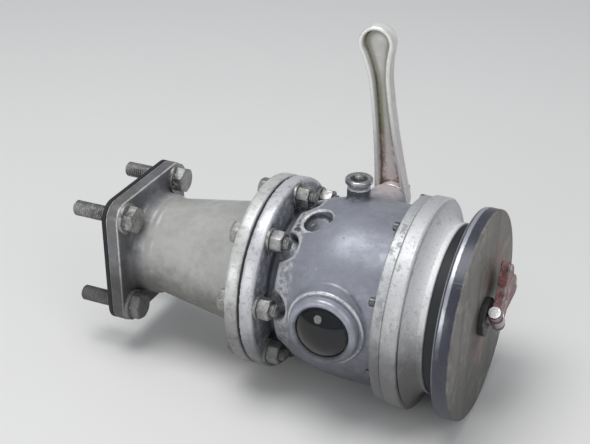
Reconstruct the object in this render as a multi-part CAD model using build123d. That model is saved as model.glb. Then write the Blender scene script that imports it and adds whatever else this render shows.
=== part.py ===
from build123d import *
import math
import os

# Discharge valve of a road tanker: a spool bolted to the tank, a cast valve body with a sight glass
# and a lever, and a nose that a hose coupler grips, closed by a cover with a rubber ring.
# Sizes are in millimetres. X runs outboard along the flow, Y along the vehicle, Z up.
# The origin is the centre of the four tank bolts, on the face that meets the tank's flange.

# Clearances
SEAT_GAP = 0.02  # between pieces that are fixed to each other round a cylinder
RUNNING_GAP = 0.05  # radial, shafts and stems in their bearings
CLEAR_GAP = 0.3  # between pieces that move apart
THROUGH = 100.0  # the length of a cutter that passes right through

# Tank flange and its bolts
GASKET_T = 3.0
TANK_BOLT_SPACING = 74.0
SQUARE_EDGE = 13.0  # from a bolt's centre to the square's side
SQUARE_SIDE = TANK_BOLT_SPACING + 2 * SQUARE_EDGE
SQUARE_CORNER_R = 14.0
SQUARE_T = 10.0
TANK_BOLT_D = 12.0
TANK_THREAD_D = 11.6
TANK_BOLT_HOLE_D = 13.5
TANK_STUD_OUT = 30.0
TANK_HEAD_ACROSS = 18.0
TANK_HEAD_T = 7.5
TANK_WASHER_D = 24.0
TANK_WASHER_T = 2.5
SPOT_FACE_GAP = 0.8
HEX_BEVEL = 1.0

# Spool between the tank flange and the valve
SPOOL_LENGTH = 117.0
SPOOL_WALL = 6.5
CONE_D_TANK = 73.0
COLLAR_STEP = 2.5  # how far the collar stands above the cone's small end
COLLAR_T = 17.0
COLLAR_RAMP = 3.0
COLLAR_ROOT_R = 5.0
COLLAR_ROUND_R = 4.0
CONE_ROOT_R = 3.0
CONE_HEAD_CLEAR = 4.6  # from the cone's large end to the corners of the bolt heads

# Round flange joint, three-inch pattern
FLANGE_PCD = 123.8
FLANGE_RIM = 9.55  # from the bolt circle to the rim
FLANGE_D = FLANGE_PCD + 2 * FLANGE_RIM
FLANGE_T = 10.0
FLANGE_GASKET_T = 2.0
FLANGE_GASKET_INSET = 1.5
FLANGE_BOLTS = 8
FLANGE_TURN_DEG = -5.0  # where the first bolt stands, from +Y toward +Z
FLANGE_BOLT_D = 9.5
FLANGE_BOLT_HOLE_D = 11.1
FLANGE_HEAD_ACROSS = 14.3
FLANGE_HEAD_T = 6.4
FLANGE_NUT_T = 9.0
FLANGE_WASHER_D = 17.6
FLANGE_WASHER_T = 2.2
FLANGE_BOLT_BEYOND_NUT = 4.0
RIM_CHAMFER = 0.8
CONE_D_VALVE = FLANGE_PCD - 2 * (FLANGE_HEAD_ACROSS / math.sqrt(3) + CONE_HEAD_CLEAR)

# Nose that the hose coupler grips
NOSE_LIP_D = 123.0
NOSE_WALL = 12.0  # from the mouth to the lip
MOUTH_D = NOSE_LIP_D - 2 * NOSE_WALL
SEAT_WIDTH = 5.5  # radial width of the poppet's seat
SEAT_D = MOUTH_D + 2 * SEAT_WIDTH
SEAT_DEPTH = 9.5  # from the lip back to the small end of the seat's cone
NOSE_LENGTH = 25.0
NOSE_RING_T = 11.0
NOSE_RING_STEP = 3.0
NOSE_GROOVE_W = 1.2
NOSE_GROOVE_DEPTH = 2.5
NOSE_LIP_T = 2.6
NOSE_LIP_EDGE = 0.6
NOSE_THROAT_DEPTH = 1.75
NOSE_THROAT_W = 2.2
NOSE_SAG = 1.6

# Valve body casting
POPPET_ROOM = 3.0  # round the open poppet, where it stands in the chamber
CHAMBER_D = SEAT_D + 2 * POPPET_ROOM
CHAMBER_WALL = 8.5
CHAMBER_CONE = 8.0
BARREL_D = CHAMBER_D + 2 * CHAMBER_WALL
BARREL_LENGTH = 88.0  # from the flange's outboard face to the clamp ring
BARREL_FULL_AT = 60.0  # where the rounded shoulder reaches the barrel's full size
CHANNEL_W = 8.0  # between the flange and the shoulder
SHOULDER_DROP = 10.5  # from the barrel down to the start of the shoulder
SHOULDER_CHAMFER = 2.0
NECK_CLEAR = 6.1  # from the neck to the washers
NECK_D = FLANGE_PCD - FLANGE_WASHER_D - 2 * NECK_CLEAR
NECK_WALL = 9.0
NECK_BORE_D = NECK_D - 2 * NECK_WALL
NECK_BORE_LENGTH = 46.0
GUIDE_STEP = 1.5  # how far the spider's ring is let into the neck
POCKET_CLEAR = 1.9  # from a washer to the side of its pocket
POCKET_W = FLANGE_WASHER_D + 2 * POCKET_CLEAR
POCKET_TIP_CLEAR = 4.8  # from a bolt's tip to the end of its pocket
POCKET_LENGTH = FLANGE_WASHER_T + FLANGE_NUT_T + FLANGE_BOLT_BEYOND_NUT + POCKET_TIP_CLEAR
PORT_AT = 27.0  # the blind port in the shoulder, midway between two bolts
PORT_STEPS = 2.5  # bolt pitches from the first bolt
PORT_D = 21.0
PORT_FLOOR_R = 54.5
BODY_LIP_H = 2.4
BODY_LIP_T = 3.0

# Clamp ring and its screws
CLAMP_STEP = 8.5
CLAMP_D = BARREL_D + 2 * CLAMP_STEP
CLAMP_T = 8.0
NOSE_RING_OVER = 1.5  # how far the nose's ring stands out past the clamp ring
NOSE_RING_D = CLAMP_D + 2 * NOSE_RING_OVER
SCREW_COUNT = 8
SCREW_START_DEG = 18.0
SCREW_D = 4.0
SCREW_HEAD_D = 6.5
SCREW_HEAD_T = 4.0
SCREW_SOCKET_ACROSS = 3.0
SCREW_SOCKET_DEPTH = 2.2
SCREW_LENGTH = 14.0

# Poppet and its stem
POPPET_RECESS = 7.0
POPPET_FACE_GAP = 1.2
POPPET_FLANGE_GAP = 1.2
POPPET_BACK_T = 5.2
SEAL_T = 2.0
SEAL_GAP = 0.2
STEM_D = 12.0
STEM_COLLAR_D = 26.0
STEM_COLLAR_T = 3.0
STEM_TAIL = 4.0
STEM_SHOULDER_D = 26.0
STEM_SHOULDER_T = 6.0
POPPET_SKIN = 4.0  # what is left of the poppet's face over the stem's end

# Spider that guides the stem
GUIDE_AT = 12.0  # from the joint face of the valve's flange
GUIDE_OPEN_GAP = 1.6  # from the spider's hub to the stem's collar when the poppet is open
GUIDE_RING_W = 8.0
GUIDE_RING_T = 3.0
GUIDE_HUB_D = 24.0
GUIDE_VANES = 3
GUIDE_VANE_T = 5.0
GUIDE_VANE_FROM = 6.0  # where a vane starts inside the hub

# Lever, its shaft and the crank that moves the stem
SHAFT_AT = 51.0  # from the valve flange's outboard face
SHAFT_D = 14.0
SHAFT_BLIND_WALL = 2.0  # from the corner of the shaft's blind bore to the barrel's outside
LEVER_STROKE_DEG = 45.0
CRANK_EYE_D = 23.0
CRANK_ROOF_GAP = 4.5  # between the crank's eye and the chamber's wall
SHAFT_Z = CHAMBER_D / 2 - CRANK_EYE_D / 2 - CRANK_ROOF_GAP
CRANK_PRONG_T = 4.5
CRANK_PRONG_GAP = 1.5
CRANK_TIP_D = 16.0
CRANK_ARM_W = 8.0
CRANK_WEB = 7.5  # left between the fork's slot and the eye
SHAFT_BOSS_D = 32.0
SHAFT_BOSS_DEPTH = 9.5  # from the barrel's side to the boss's face
SHAFT_BOSS_OUT = BARREL_D / 2 - SHAFT_BOSS_DEPTH
GLAND_ACROSS = 24.0
GLAND_T = 4.5
GLAND_LEVER_GAP = 0.5
LEVER_LEAN_DEG = -7.6
LEVER_LENGTH = 121.0
LEVER_DEPTH = 11.0
LEVER_HEAD_D = 26.5
LEVER_NECK_W = 15.6
LEVER_NECK_AT = 88.0
LEVER_HUB_D = 26.0
LEVER_WALL = 3.0
LEVER_FLOOR_T = 4.0
LEVER_SQUARE = 10.0
LEVER_NUT_ACROSS = 17.0
LEVER_NUT_T = 8.0
LEVER_THREAD_D = 9.8
LEVER_WASHER_D = 22.0
LEVER_WASHER_T = 1.8
LEVER_THREAD_BEYOND = 2.5

# Sight glass on the side that faces the vehicle's rear
SIGHT_AT = 54.0
SIGHT_Z = 6.0
SIGHT_BOSS_D = 56.0
SIGHT_BOSS_STEP = 2.5  # how far the boss's face stands out past the barrel
SIGHT_BOSS_OUT = BARREL_D / 2 + SIGHT_BOSS_STEP
BEZEL_D = 50.0
BEZEL_T = 7.0
BEZEL_OPENING_D = 38.5
BEZEL_MOUTH_CHAMFER = 1.5
BEZEL_LAND_W = 0.4  # the flat left on its face, between the rounded rim and the mouth's chamfer
BEZEL_LIP_T = 3.0
SIGHT_GLASS_D = 42.5
SIGHT_DOME_D = 37.0
SIGHT_DOME_RISE = 6.5
SIGHT_SEAL_T = 2.0
SIGHT_BORE_D = 30.0

# Plug in the top of the body
PLUG_AT = 43.0
PLUG_Y = 17.0
PLUG_BOSS_D = 17.0
PLUG_BOSS_STEP = 6.5  # how far its boss stands up past the barrel
PLUG_BOSS_TOP = BARREL_D / 2 + PLUG_BOSS_STEP
PLUG_D = 20.0
PLUG_T = 6.0
PLUG_SOCKET_ACROSS = 8.0
PLUG_SOCKET_DEPTH = 4.0
PLUG_THREAD_D = 10.0
PLUG_THREAD_L = 10.0

# Cover on the nose
COVER_D = 150.7
COVER_T = 13.4
COVER_GAP = 10.0  # from the lip's face to the cover's back
COVER_BACK_CHAMFER = 3.0
COVER_FACE_R = 1.6
RUBBER_INSET = 1.5
RUBBER_D = NOSE_LIP_D - 2 * RUBBER_INSET
RUBBER_SPIGOT_L = 5.2
RUBBER_WALL = 10.0
PLATE_T = 3.5
PLATE_GAP = 0.8
DRAW_BOLT_D = 10.0
DRAW_EYE_D = 11.0
DRAW_EYE_W = 8.4
HUB_D = 28.0
HUB_T = 4.5

# Red grip, a cam lever on the draw bolt's eye
GRIP_ANGLE_DEG = 38.0
GRIP_LENGTH = 38.0
GRIP_TIP_W = 54.0
GRIP_FAN_FROM = 12.0  # from the pin to where the cheeks start to fan out
GRIP_CORNER_R = 6.0
GRIP_CHEEK_W = 4.5
GRIP_CHEEK_GAP = 0.3
GRIP_T = 6.5
GRIP_CAM_D = 10.0
GRIP_PIN_D = 5.0
GRIP_PIN_HEAD_D = 8.5
GRIP_PIN_HEAD_T = 2.0
GRIP_SCALLOPS = 3
GRIP_SCALLOP_R = 9.0
GRIP_SCALLOP_DEPTH = 2.6

# Places along X that follow from the sizes above
SPOOL_START = GASKET_T
SPOOL_END = SPOOL_START + SPOOL_LENGTH
JOINT_FACE = SPOOL_END + FLANGE_GASKET_T
FLANGE_FRONT = JOINT_FACE + FLANGE_T
CLAMP_START = FLANGE_FRONT + BARREL_LENGTH
NOSE_START = CLAMP_START + CLAMP_T
LIP_FACE = NOSE_START + NOSE_LENGTH
SHAFT_X = FLANGE_FRONT + SHAFT_AT
CRANK_ARM = SHAFT_Z
HALF_STROKE = math.radians(LEVER_STROKE_DEG / 2)
POPPET_STROKE = 2 * CRANK_ARM * math.sin(HALF_STROKE)
TIP_X = SHAFT_X + CRANK_ARM * math.sin(HALF_STROKE)
TIP_Z = SHAFT_Z - CRANK_ARM * math.cos(HALF_STROKE)
STEM_COLLAR_X = TIP_X - CRANK_TIP_D / 2 - CLEAR_GAP - STEM_COLLAR_T  # the first collar, poppet shut
GUIDE_START = JOINT_FACE + GUIDE_AT
GUIDE_END = STEM_COLLAR_X - POPPET_STROKE - GUIDE_OPEN_GAP
POPPET_FRONT = LIP_FACE - POPPET_RECESS
SEAT_X = LIP_FACE - SEAT_DEPTH
POPPET_BACK = SEAT_X - SEAL_T - SEAT_WIDTH + POPPET_FLANGE_GAP - POPPET_BACK_T
COVER_BACK = LIP_FACE + COVER_GAP
COVER_FRONT = COVER_BACK + COVER_T
HUB_FRONT = COVER_FRONT + HUB_T
GRIP_PIN_X = HUB_FRONT + GRIP_CAM_D / 2 + CLEAR_GAP


def turned(outline):
    """A solid of revolution about X from (x, radius) points."""
    return revolve(make_face(Polyline(*outline, close=True)), Axis.X)


def turned_rounded(outline):
    """A solid of revolution about X from (x, radius, fillet) points, with no fillet where it is 0."""
    points = [(x, radius) for x, radius, _ in outline]
    fillets = [fillet_r for _, _, fillet_r in outline]
    return revolve(make_face(FilletPolyline(*points, radius=fillets, close=True)), Axis.X)


def rod_x(radius, start, end):
    """A round bar along X."""
    return extrude(Plane.YZ.offset(start) * Circle(radius), end - start)


def rod_y(radius, x, z, start, end):
    """A round bar along Y."""
    return extrude(Plane.XZ.offset(-start) * Pos(x, z) * Circle(radius), start - end)


def tube_x(outer, inner, start, end):
    """A round tube along X."""
    return rod_x(outer, start, end) - rod_x(inner, start, end)


def around_x(piece, count, start_deg=0.0):
    """Copies of a piece at equal angles about X."""
    return [Rot(X=start_deg + 360 / count * step) * piece for step in range(count)]


def hex_x(across, start, end):
    """A hexagonal bar along X whose corners are bevelled at the end."""
    outline = Plane.YZ.offset(start) * RegularPolygon(across / 2, 6, major_radius=False)
    corner = across / math.sqrt(3)
    bevel_at = end - HEX_BEVEL
    tip_r = corner - 2 * HEX_BEVEL
    cone = turned([(start, 0), (start, corner), (bevel_at, corner), (end, tip_r), (end, 0)])
    return extrude(outline, end - start) & cone


def corner_places():
    """The four tank bolts, as places in the YZ plane."""
    half = TANK_BOLT_SPACING / 2
    return [(y, z) for y in (-half, half) for z in (-half, half)]


def square_plate(start, thickness, bore):
    """The square flange's outline with its bore and four bolt holes."""
    outline = RectangleRounded(SQUARE_SIDE, SQUARE_SIDE, SQUARE_CORNER_R) - Circle(bore)
    for place in corner_places():
        outline -= Pos(*place) * Circle(TANK_BOLT_HOLE_D / 2)
    return extrude(Plane.YZ.offset(start) * outline, thickness)


def flange_holes(start, end):
    """The round flange's bolt holes, as solids to cut away."""
    return around_flange(rod_x(FLANGE_BOLT_HOLE_D / 2, start, end))


def around_flange(piece):
    """Copies of a piece on the axis, one at each bolt of the round flange."""
    return around_x(Pos(Y=FLANGE_PCD / 2) * piece, FLANGE_BOLTS, FLANGE_TURN_DEG)


def tank_gasket():
    return square_plate(0, GASKET_T, CONE_D_TANK / 2 - SPOOL_WALL)


def spool():
    """The square flange, the collar, the cone and the round flange, one casting with a tapered bore."""
    plate_front = SPOOL_START + SQUARE_T
    collar_end = plate_front + COLLAR_T
    flange_back = SPOOL_END - FLANGE_T
    cone_r = CONE_D_TANK / 2
    collar_r = cone_r + COLLAR_STEP
    outside = turned_rounded(
        [
            (SPOOL_START, 0, 0),
            (SPOOL_START, collar_r + COLLAR_ROOT_R, 0),
            (plate_front, collar_r + COLLAR_ROOT_R, 0),
            (plate_front, collar_r, COLLAR_ROOT_R - CLEAR_GAP),
            (collar_end - COLLAR_RAMP, collar_r, COLLAR_ROUND_R),
            (collar_end, cone_r, COLLAR_ROUND_R),
            (flange_back, CONE_D_VALVE / 2, CONE_ROOT_R),
            (flange_back, FLANGE_D / 2 - RIM_CHAMFER, 0),
            (flange_back + RIM_CHAMFER, FLANGE_D / 2, 0),
            (SPOOL_END, FLANGE_D / 2, 0),
            (SPOOL_END, 0, 0),
        ]
    )
    bore = turned(
        [
            (SPOOL_START, 0),
            (SPOOL_START, cone_r - SPOOL_WALL),
            (collar_end, cone_r - SPOOL_WALL),
            (SPOOL_END, NECK_BORE_D / 2),
            (SPOOL_END, 0),
        ]
    )
    body = square_plate(SPOOL_START, SQUARE_T, cone_r - SPOOL_WALL) + outside - bore
    for hole in flange_holes(flange_back, SPOOL_END):
        body -= hole
    for y, z in corner_places():
        body -= Pos(Y=y, Z=z) * rod_x(TANK_WASHER_D / 2 + SPOT_FACE_GAP, plate_front, collar_end)
    return body


def tank_bolts():
    head_start = SPOOL_START + SQUARE_T + TANK_WASHER_T
    head = hex_x(TANK_HEAD_ACROSS, head_start, head_start + TANK_HEAD_T)
    bolt = head + rod_x(TANK_BOLT_D / 2, 0, head_start) + rod_x(TANK_THREAD_D / 2, -TANK_STUD_OUT, 0)
    return [Pos(Y=y, Z=z) * bolt for y, z in corner_places()]


def tank_washers():
    start = SPOOL_START + SQUARE_T
    ring = tube_x(TANK_WASHER_D / 2, TANK_BOLT_D / 2 + SEAT_GAP, start, start + TANK_WASHER_T)
    return [Pos(Y=y, Z=z) * ring for y, z in corner_places()]


def flange_gasket():
    ring = tube_x(FLANGE_D / 2 - FLANGE_GASKET_INSET, NECK_BORE_D / 2, SPOOL_END, JOINT_FACE)
    for hole in flange_holes(SPOOL_END, JOINT_FACE):
        ring -= hole
    return ring


def flange_bolts():
    head_end = SPOOL_END - FLANGE_T
    tip = FLANGE_FRONT + FLANGE_WASHER_T + FLANGE_NUT_T + FLANGE_BOLT_BEYOND_NUT
    head = hex_x(FLANGE_HEAD_ACROSS, head_end, head_end + FLANGE_HEAD_T)
    head = Pos(X=2 * head_end) * mirror(head, Plane.YZ)
    return around_flange(head + rod_x(FLANGE_BOLT_D / 2, head_end, tip))


def flange_washers():
    end = FLANGE_FRONT + FLANGE_WASHER_T
    return around_flange(tube_x(FLANGE_WASHER_D / 2, FLANGE_BOLT_D / 2 + SEAT_GAP, FLANGE_FRONT, end))


def flange_nuts():
    start = FLANGE_FRONT + FLANGE_WASHER_T
    nut = hex_x(FLANGE_HEAD_ACROSS, start, start + FLANGE_NUT_T)
    return around_flange(nut - rod_x(FLANGE_BOLT_D / 2 + SEAT_GAP, start, start + FLANGE_NUT_T))


def body_outside():
    """The flange, the channel round the neck, the rounded shoulder and the barrel, turned about X."""
    channel_end = FLANGE_FRONT + CHANNEL_W
    shoulder_x = channel_end + SHOULDER_CHAMFER
    shoulder_r = BARREL_D / 2 - SHOULDER_DROP
    edge_r = shoulder_r - SHOULDER_CHAMFER
    full_x = FLANGE_FRONT + BARREL_FULL_AT
    barrel_r = BARREL_D / 2
    barrel_end = CLAMP_START + CLAMP_T
    rim = FLANGE_D / 2
    neck = NECK_D / 2
    crown_length = full_x - shoulder_x
    crown_r = (crown_length**2 + SHOULDER_DROP**2) / (2 * SHOULDER_DROP)  # runs smoothly into the barrel
    edges = [
        Polyline((barrel_end, 0), (JOINT_FACE, 0), (JOINT_FACE, rim), (FLANGE_FRONT - RIM_CHAMFER, rim)),
        Polyline((FLANGE_FRONT - RIM_CHAMFER, rim), (FLANGE_FRONT, rim - RIM_CHAMFER)),
        Polyline((FLANGE_FRONT, rim - RIM_CHAMFER), (FLANGE_FRONT, neck), (channel_end, neck)),
        Polyline((channel_end, neck), (channel_end, edge_r), (shoulder_x, shoulder_r)),
        RadiusArc((shoulder_x, shoulder_r), (full_x, barrel_r), crown_r),
        Polyline((full_x, barrel_r), (barrel_end, barrel_r), (barrel_end, 0)),
    ]
    return revolve(make_face(edges), Axis.X)


def body_hollow():
    """The flow passage from the flange to the nose."""
    cone_x = JOINT_FACE + NECK_BORE_LENGTH
    chamber = CHAMBER_D / 2
    return turned(
        [
            (JOINT_FACE, 0),
            (JOINT_FACE, NECK_BORE_D / 2),
            (cone_x, NECK_BORE_D / 2),
            (cone_x + CHAMBER_CONE, chamber),
            (NOSE_START, chamber),
            (NOSE_START, 0),
        ]
    )


def nut_pocket():
    """One U-shaped pocket, open to the flange and closed by a half round, above the neck."""
    length = POCKET_LENGTH - POCKET_W / 2
    end_x = FLANGE_FRONT + length
    shape = Pos(FLANGE_FRONT + length / 2, 0) * Rectangle(length, POCKET_W)
    shape += Pos(end_x, 0) * Circle(POCKET_W / 2)
    return extrude(shape, BARREL_D / 2)


def blind_port():
    """The round recess in the shoulder between two bolts."""
    turn = FLANGE_TURN_DEG + PORT_STEPS * 360 / FLANGE_BOLTS - 90
    recess = extrude(Circle(PORT_D / 2), BARREL_D / 2 - PORT_FLOOR_R)
    return Rot(X=turn) * Pos(FLANGE_FRONT + PORT_AT, 0, PORT_FLOOR_R) * recess


def plug_bore():
    """The threaded hole under the top plug, as deep as the plug's thread."""
    return Pos(FLANGE_FRONT + PLUG_AT, PLUG_Y, PLUG_BOSS_TOP - PLUG_THREAD_L) * extrude(
        Circle(PLUG_THREAD_D / 2 + SEAT_GAP), PLUG_THREAD_L
    )


def shaft_bore_end():
    """Where the shaft's bore ends in the wall on the sight glass's side."""
    corner_r = BARREL_D / 2 - SHAFT_BLIND_WALL
    corner_z = SHAFT_Z + SHAFT_D / 2 + RUNNING_GAP
    return -math.sqrt(corner_r**2 - corner_z**2)


def body_bosses():
    """The bosses of the lever's shaft, the sight glass and the top plug."""
    shaft_boss = rod_y(SHAFT_BOSS_D / 2, SHAFT_X, SHAFT_Z, 0, SHAFT_BOSS_OUT)
    sight_boss = rod_y(SIGHT_BOSS_D / 2, FLANGE_FRONT + SIGHT_AT, SIGHT_Z, -SIGHT_BOSS_OUT, 0)
    plug_boss = Pos(FLANGE_FRONT + PLUG_AT, PLUG_Y) * extrude(Circle(PLUG_BOSS_D / 2), PLUG_BOSS_TOP)
    return shaft_boss + sight_boss + plug_boss


def guide_groove():
    """The step that the spider's ring rests in."""
    return rod_x(NECK_BORE_D / 2 + GUIDE_STEP, JOINT_FACE, GUIDE_START + GUIDE_RING_W)


def valve_body():
    lip_start = CLAMP_START + CLAMP_T - BODY_LIP_T
    body = body_outside() + rod_x(BARREL_D / 2 + BODY_LIP_H, lip_start, NOSE_START)
    core = rod_x(NECK_D / 2, FLANGE_FRONT, FLANGE_FRONT + BARREL_FULL_AT)
    for pocket in around_x(nut_pocket(), FLANGE_BOLTS, FLANGE_TURN_DEG - 90):
        body -= pocket - core
    body -= blind_port()
    body += body_bosses()
    body -= body_hollow() + guide_groove()
    for hole in flange_holes(JOINT_FACE, FLANGE_FRONT):
        body -= hole
    body -= rod_y(SHAFT_D / 2 + RUNNING_GAP, SHAFT_X, SHAFT_Z, shaft_bore_end(), SHAFT_BOSS_OUT)
    body -= rod_y(SHAFT_BOSS_D / 2 + SPOT_FACE_GAP, SHAFT_X, SHAFT_Z, SHAFT_BOSS_OUT, BARREL_D / 2)
    body -= rod_y(SIGHT_BORE_D / 2, FLANGE_FRONT + SIGHT_AT, SIGHT_Z, -SIGHT_BOSS_OUT, 0)
    return body - plug_bore()


def clamp_ring():
    lip = BARREL_D / 2 + BODY_LIP_H + CLEAR_GAP
    rim = CLAMP_D / 2
    inner = BARREL_D / 2 + CLEAR_GAP
    ring = turned(
        [
            (CLAMP_START, inner),
            (CLAMP_START, rim - RIM_CHAMFER),
            (CLAMP_START + RIM_CHAMFER, rim),
            (NOSE_START - RIM_CHAMFER, rim),
            (NOSE_START, rim - RIM_CHAMFER),
            (NOSE_START, lip),
            (NOSE_START - BODY_LIP_T, lip),
            (NOSE_START - BODY_LIP_T, inner),
        ]
    )
    for hole in screw_holes(CLAMP_START, NOSE_START):
        ring -= hole
    return ring


def screw_circle():
    """The radius at which the ring's screws stand, midway between the body's lip and the ring's rim."""
    return (BARREL_D / 2 + BODY_LIP_H + CLEAR_GAP + CLAMP_D / 2) / 2


def screw_holes(start, end):
    """The holes of the ring's screws, as solids to cut away."""
    hole = Pos(Y=screw_circle()) * rod_x(SCREW_D / 2 + SEAT_GAP, start, end)
    return around_x(hole, SCREW_COUNT, SCREW_START_DEG)


def ring_screws():
    """Socket screws whose heads stand inboard of the clamp ring."""
    head_start = CLAMP_START - SCREW_HEAD_T
    socket = RegularPolygon(SCREW_SOCKET_ACROSS / 2, 6, major_radius=False)
    head = rod_x(SCREW_HEAD_D / 2, head_start, CLAMP_START)
    head -= extrude(Plane.YZ.offset(head_start) * socket, SCREW_SOCKET_DEPTH)
    screw = head + rod_x(SCREW_D / 2, CLAMP_START, CLAMP_START + SCREW_LENGTH)
    return around_x(Pos(Y=screw_circle()) * screw, SCREW_COUNT, SCREW_START_DEG)


def nose_adaptor():
    """The nose: a broad ring, a fine groove, a hollow taper, a throat and the lip."""
    ring_end = NOSE_START + NOSE_RING_T
    groove_end = ring_end + NOSE_GROOVE_W
    throat_end = LIP_FACE - NOSE_LIP_T
    throat_start = throat_end - NOSE_THROAT_W
    lip = NOSE_LIP_D / 2
    throat = lip - NOSE_THROAT_DEPTH
    rim = NOSE_RING_D / 2
    edge = rim - RIM_CHAMFER
    step = rim - NOSE_RING_STEP
    groove = step - NOSE_GROOVE_DEPTH
    middle = ((groove_end + throat_start) / 2 - NOSE_SAG, (step + throat) / 2 - NOSE_SAG)
    edges = [
        Polyline((LIP_FACE, 0), (NOSE_START, 0), (NOSE_START, edge), (NOSE_START + RIM_CHAMFER, rim)),
        Polyline((NOSE_START + RIM_CHAMFER, rim), (ring_end - RIM_CHAMFER, rim), (ring_end, edge)),
        Polyline((ring_end, edge), (ring_end, groove), (groove_end, groove), (groove_end, step)),
        ThreePointArc((groove_end, step), middle, (throat_start, throat)),
        Polyline((throat_start, throat), (throat_end, throat), (throat_end + NOSE_LIP_EDGE, lip)),
        Polyline((throat_end + NOSE_LIP_EDGE, lip), (LIP_FACE - NOSE_LIP_EDGE, lip)),
        Polyline((LIP_FACE - NOSE_LIP_EDGE, lip), (LIP_FACE, lip - NOSE_LIP_EDGE), (LIP_FACE, 0)),
    ]
    nose = revolve(make_face(edges), Axis.X) - nose_hollow()
    for hole in screw_holes(NOSE_START, CLAMP_START + SCREW_LENGTH):
        nose -= hole
    return nose


def nose_hollow():
    """The mouth, the poppet's cone-shaped seat and the wider bore behind it."""
    return turned(
        [
            (NOSE_START, 0),
            (NOSE_START, SEAT_D / 2),
            (SEAT_X - SEAT_WIDTH, SEAT_D / 2),
            (SEAT_X, MOUTH_D / 2),
            (LIP_FACE, MOUTH_D / 2),
            (LIP_FACE, 0),
        ]
    )


def poppet():
    face_r = MOUTH_D / 2 - POPPET_FACE_GAP
    rim_r = SEAT_D / 2 - POPPET_FLANGE_GAP
    disc = turned(
        [
            (POPPET_BACK, 0),
            (POPPET_BACK, rim_r),
            (POPPET_BACK + POPPET_BACK_T, rim_r),
            (SEAT_X - SEAL_T + POPPET_FACE_GAP, face_r),
            (POPPET_FRONT, face_r),
            (POPPET_FRONT, 0),
        ]
    )
    return disc - rod_x(STEM_D / 2 + SEAT_GAP, POPPET_BACK, POPPET_FRONT - POPPET_SKIN)


def poppet_seal():
    """A rubber ring on the poppet's cone, just short of the seat."""
    inner_r = MOUTH_D / 2 + SEAL_GAP
    outer_r = SEAT_D / 2 - POPPET_FLANGE_GAP - SEAL_GAP
    seat_inner_x = SEAT_X - (inner_r - MOUTH_D / 2)
    seat_outer_x = SEAT_X - (outer_r - MOUTH_D / 2)
    return turned(
        [
            (seat_outer_x - SEAL_T, outer_r),
            (seat_inner_x - SEAL_T, inner_r),
            (seat_inner_x - SEAL_GAP, inner_r),
            (seat_outer_x - SEAL_GAP, outer_r),
        ]
    )


def stem():
    tip_r = CRANK_TIP_D / 2 + CLEAR_GAP
    bar = rod_x(STEM_D / 2, GUIDE_START - STEM_TAIL, POPPET_FRONT - POPPET_SKIN)
    bar += rod_x(STEM_COLLAR_D / 2, STEM_COLLAR_X, STEM_COLLAR_X + STEM_COLLAR_T)
    bar += rod_x(STEM_COLLAR_D / 2, TIP_X + tip_r, TIP_X + tip_r + STEM_COLLAR_T)
    return bar + rod_x(STEM_SHOULDER_D / 2, POPPET_BACK - STEM_SHOULDER_T, POPPET_BACK)


def stem_guide():
    """A ring let into the neck, a hub round the stem and three vanes between them."""
    outer = NECK_BORE_D / 2 + GUIDE_STEP - SEAT_GAP
    inner = NECK_BORE_D / 2 - GUIDE_RING_T
    spider = tube_x(outer, inner, GUIDE_START, GUIDE_START + GUIDE_RING_W)
    spider += rod_x(GUIDE_HUB_D / 2, GUIDE_START, GUIDE_END)
    vane_length = NECK_BORE_D / 2 - GUIDE_VANE_FROM
    vane = Pos(GUIDE_START + GUIDE_RING_W / 2, GUIDE_VANE_FROM + vane_length / 2) * Box(
        GUIDE_RING_W, vane_length, GUIDE_VANE_T
    )
    for copy in around_x(vane, GUIDE_VANES, 90):
        spider += copy
    return spider - rod_x(STEM_D / 2 + RUNNING_GAP, GUIDE_START, GUIDE_END)


def crank():
    """An eye on the shaft and a fork whose round pads push the stem's collars."""
    half = STEM_D / 2 + CRANK_PRONG_GAP
    outer = half + CRANK_PRONG_T
    slot_length = 2 * (CRANK_ARM - CRANK_EYE_D / 2 - CRANK_WEB)
    eye = rod_y(CRANK_EYE_D / 2, SHAFT_X, SHAFT_Z, -outer, outer)
    arm = Pos(SHAFT_X, 0, SHAFT_Z) * Rot(Y=-LEVER_STROKE_DEG / 2) * Pos(0, 0, -CRANK_ARM / 2)
    web = arm * Box(CRANK_ARM_W, 2 * outer, CRANK_ARM)
    pads = rod_y(CRANK_TIP_D / 2, TIP_X, TIP_Z, -outer, outer)
    slot = arm * Pos(0, 0, -CRANK_ARM / 2) * Box(THROUGH, 2 * half, slot_length)
    fork = eye + web + pads - slot
    return fork - rod_y(SHAFT_D / 2 + SEAT_GAP, SHAFT_X, SHAFT_Z, -outer, outer)


def lever_shaft():
    hub_back = SHAFT_BOSS_OUT + GLAND_T + GLAND_LEVER_GAP
    hub_front = hub_back + LEVER_DEPTH
    thread_end = hub_front + LEVER_WASHER_T + LEVER_NUT_T + LEVER_THREAD_BEYOND
    bar = rod_y(SHAFT_D / 2, SHAFT_X, SHAFT_Z, shaft_bore_end() + CLEAR_GAP, hub_back)
    square = Pos(SHAFT_X, (hub_back + hub_front) / 2, SHAFT_Z) * Rot(Y=LEVER_LEAN_DEG) * Box(
        LEVER_SQUARE, LEVER_DEPTH, LEVER_SQUARE
    )
    return bar + square + rod_y(LEVER_THREAD_D / 2, SHAFT_X, SHAFT_Z, hub_front, thread_end)


def hex_y(across, x, z, start, end):
    """A hexagonal bar along Y."""
    outline = Pos(x, z) * RegularPolygon(across / 2, 6, major_radius=False)
    return extrude(Plane.XZ.offset(-start) * outline, start - end)


def shaft_gland():
    end = SHAFT_BOSS_OUT + GLAND_T
    nut = hex_y(GLAND_ACROSS, SHAFT_X, SHAFT_Z, SHAFT_BOSS_OUT, end)
    return nut - rod_y(SHAFT_D / 2 + RUNNING_GAP, SHAFT_X, SHAFT_Z, SHAFT_BOSS_OUT, end)


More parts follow.
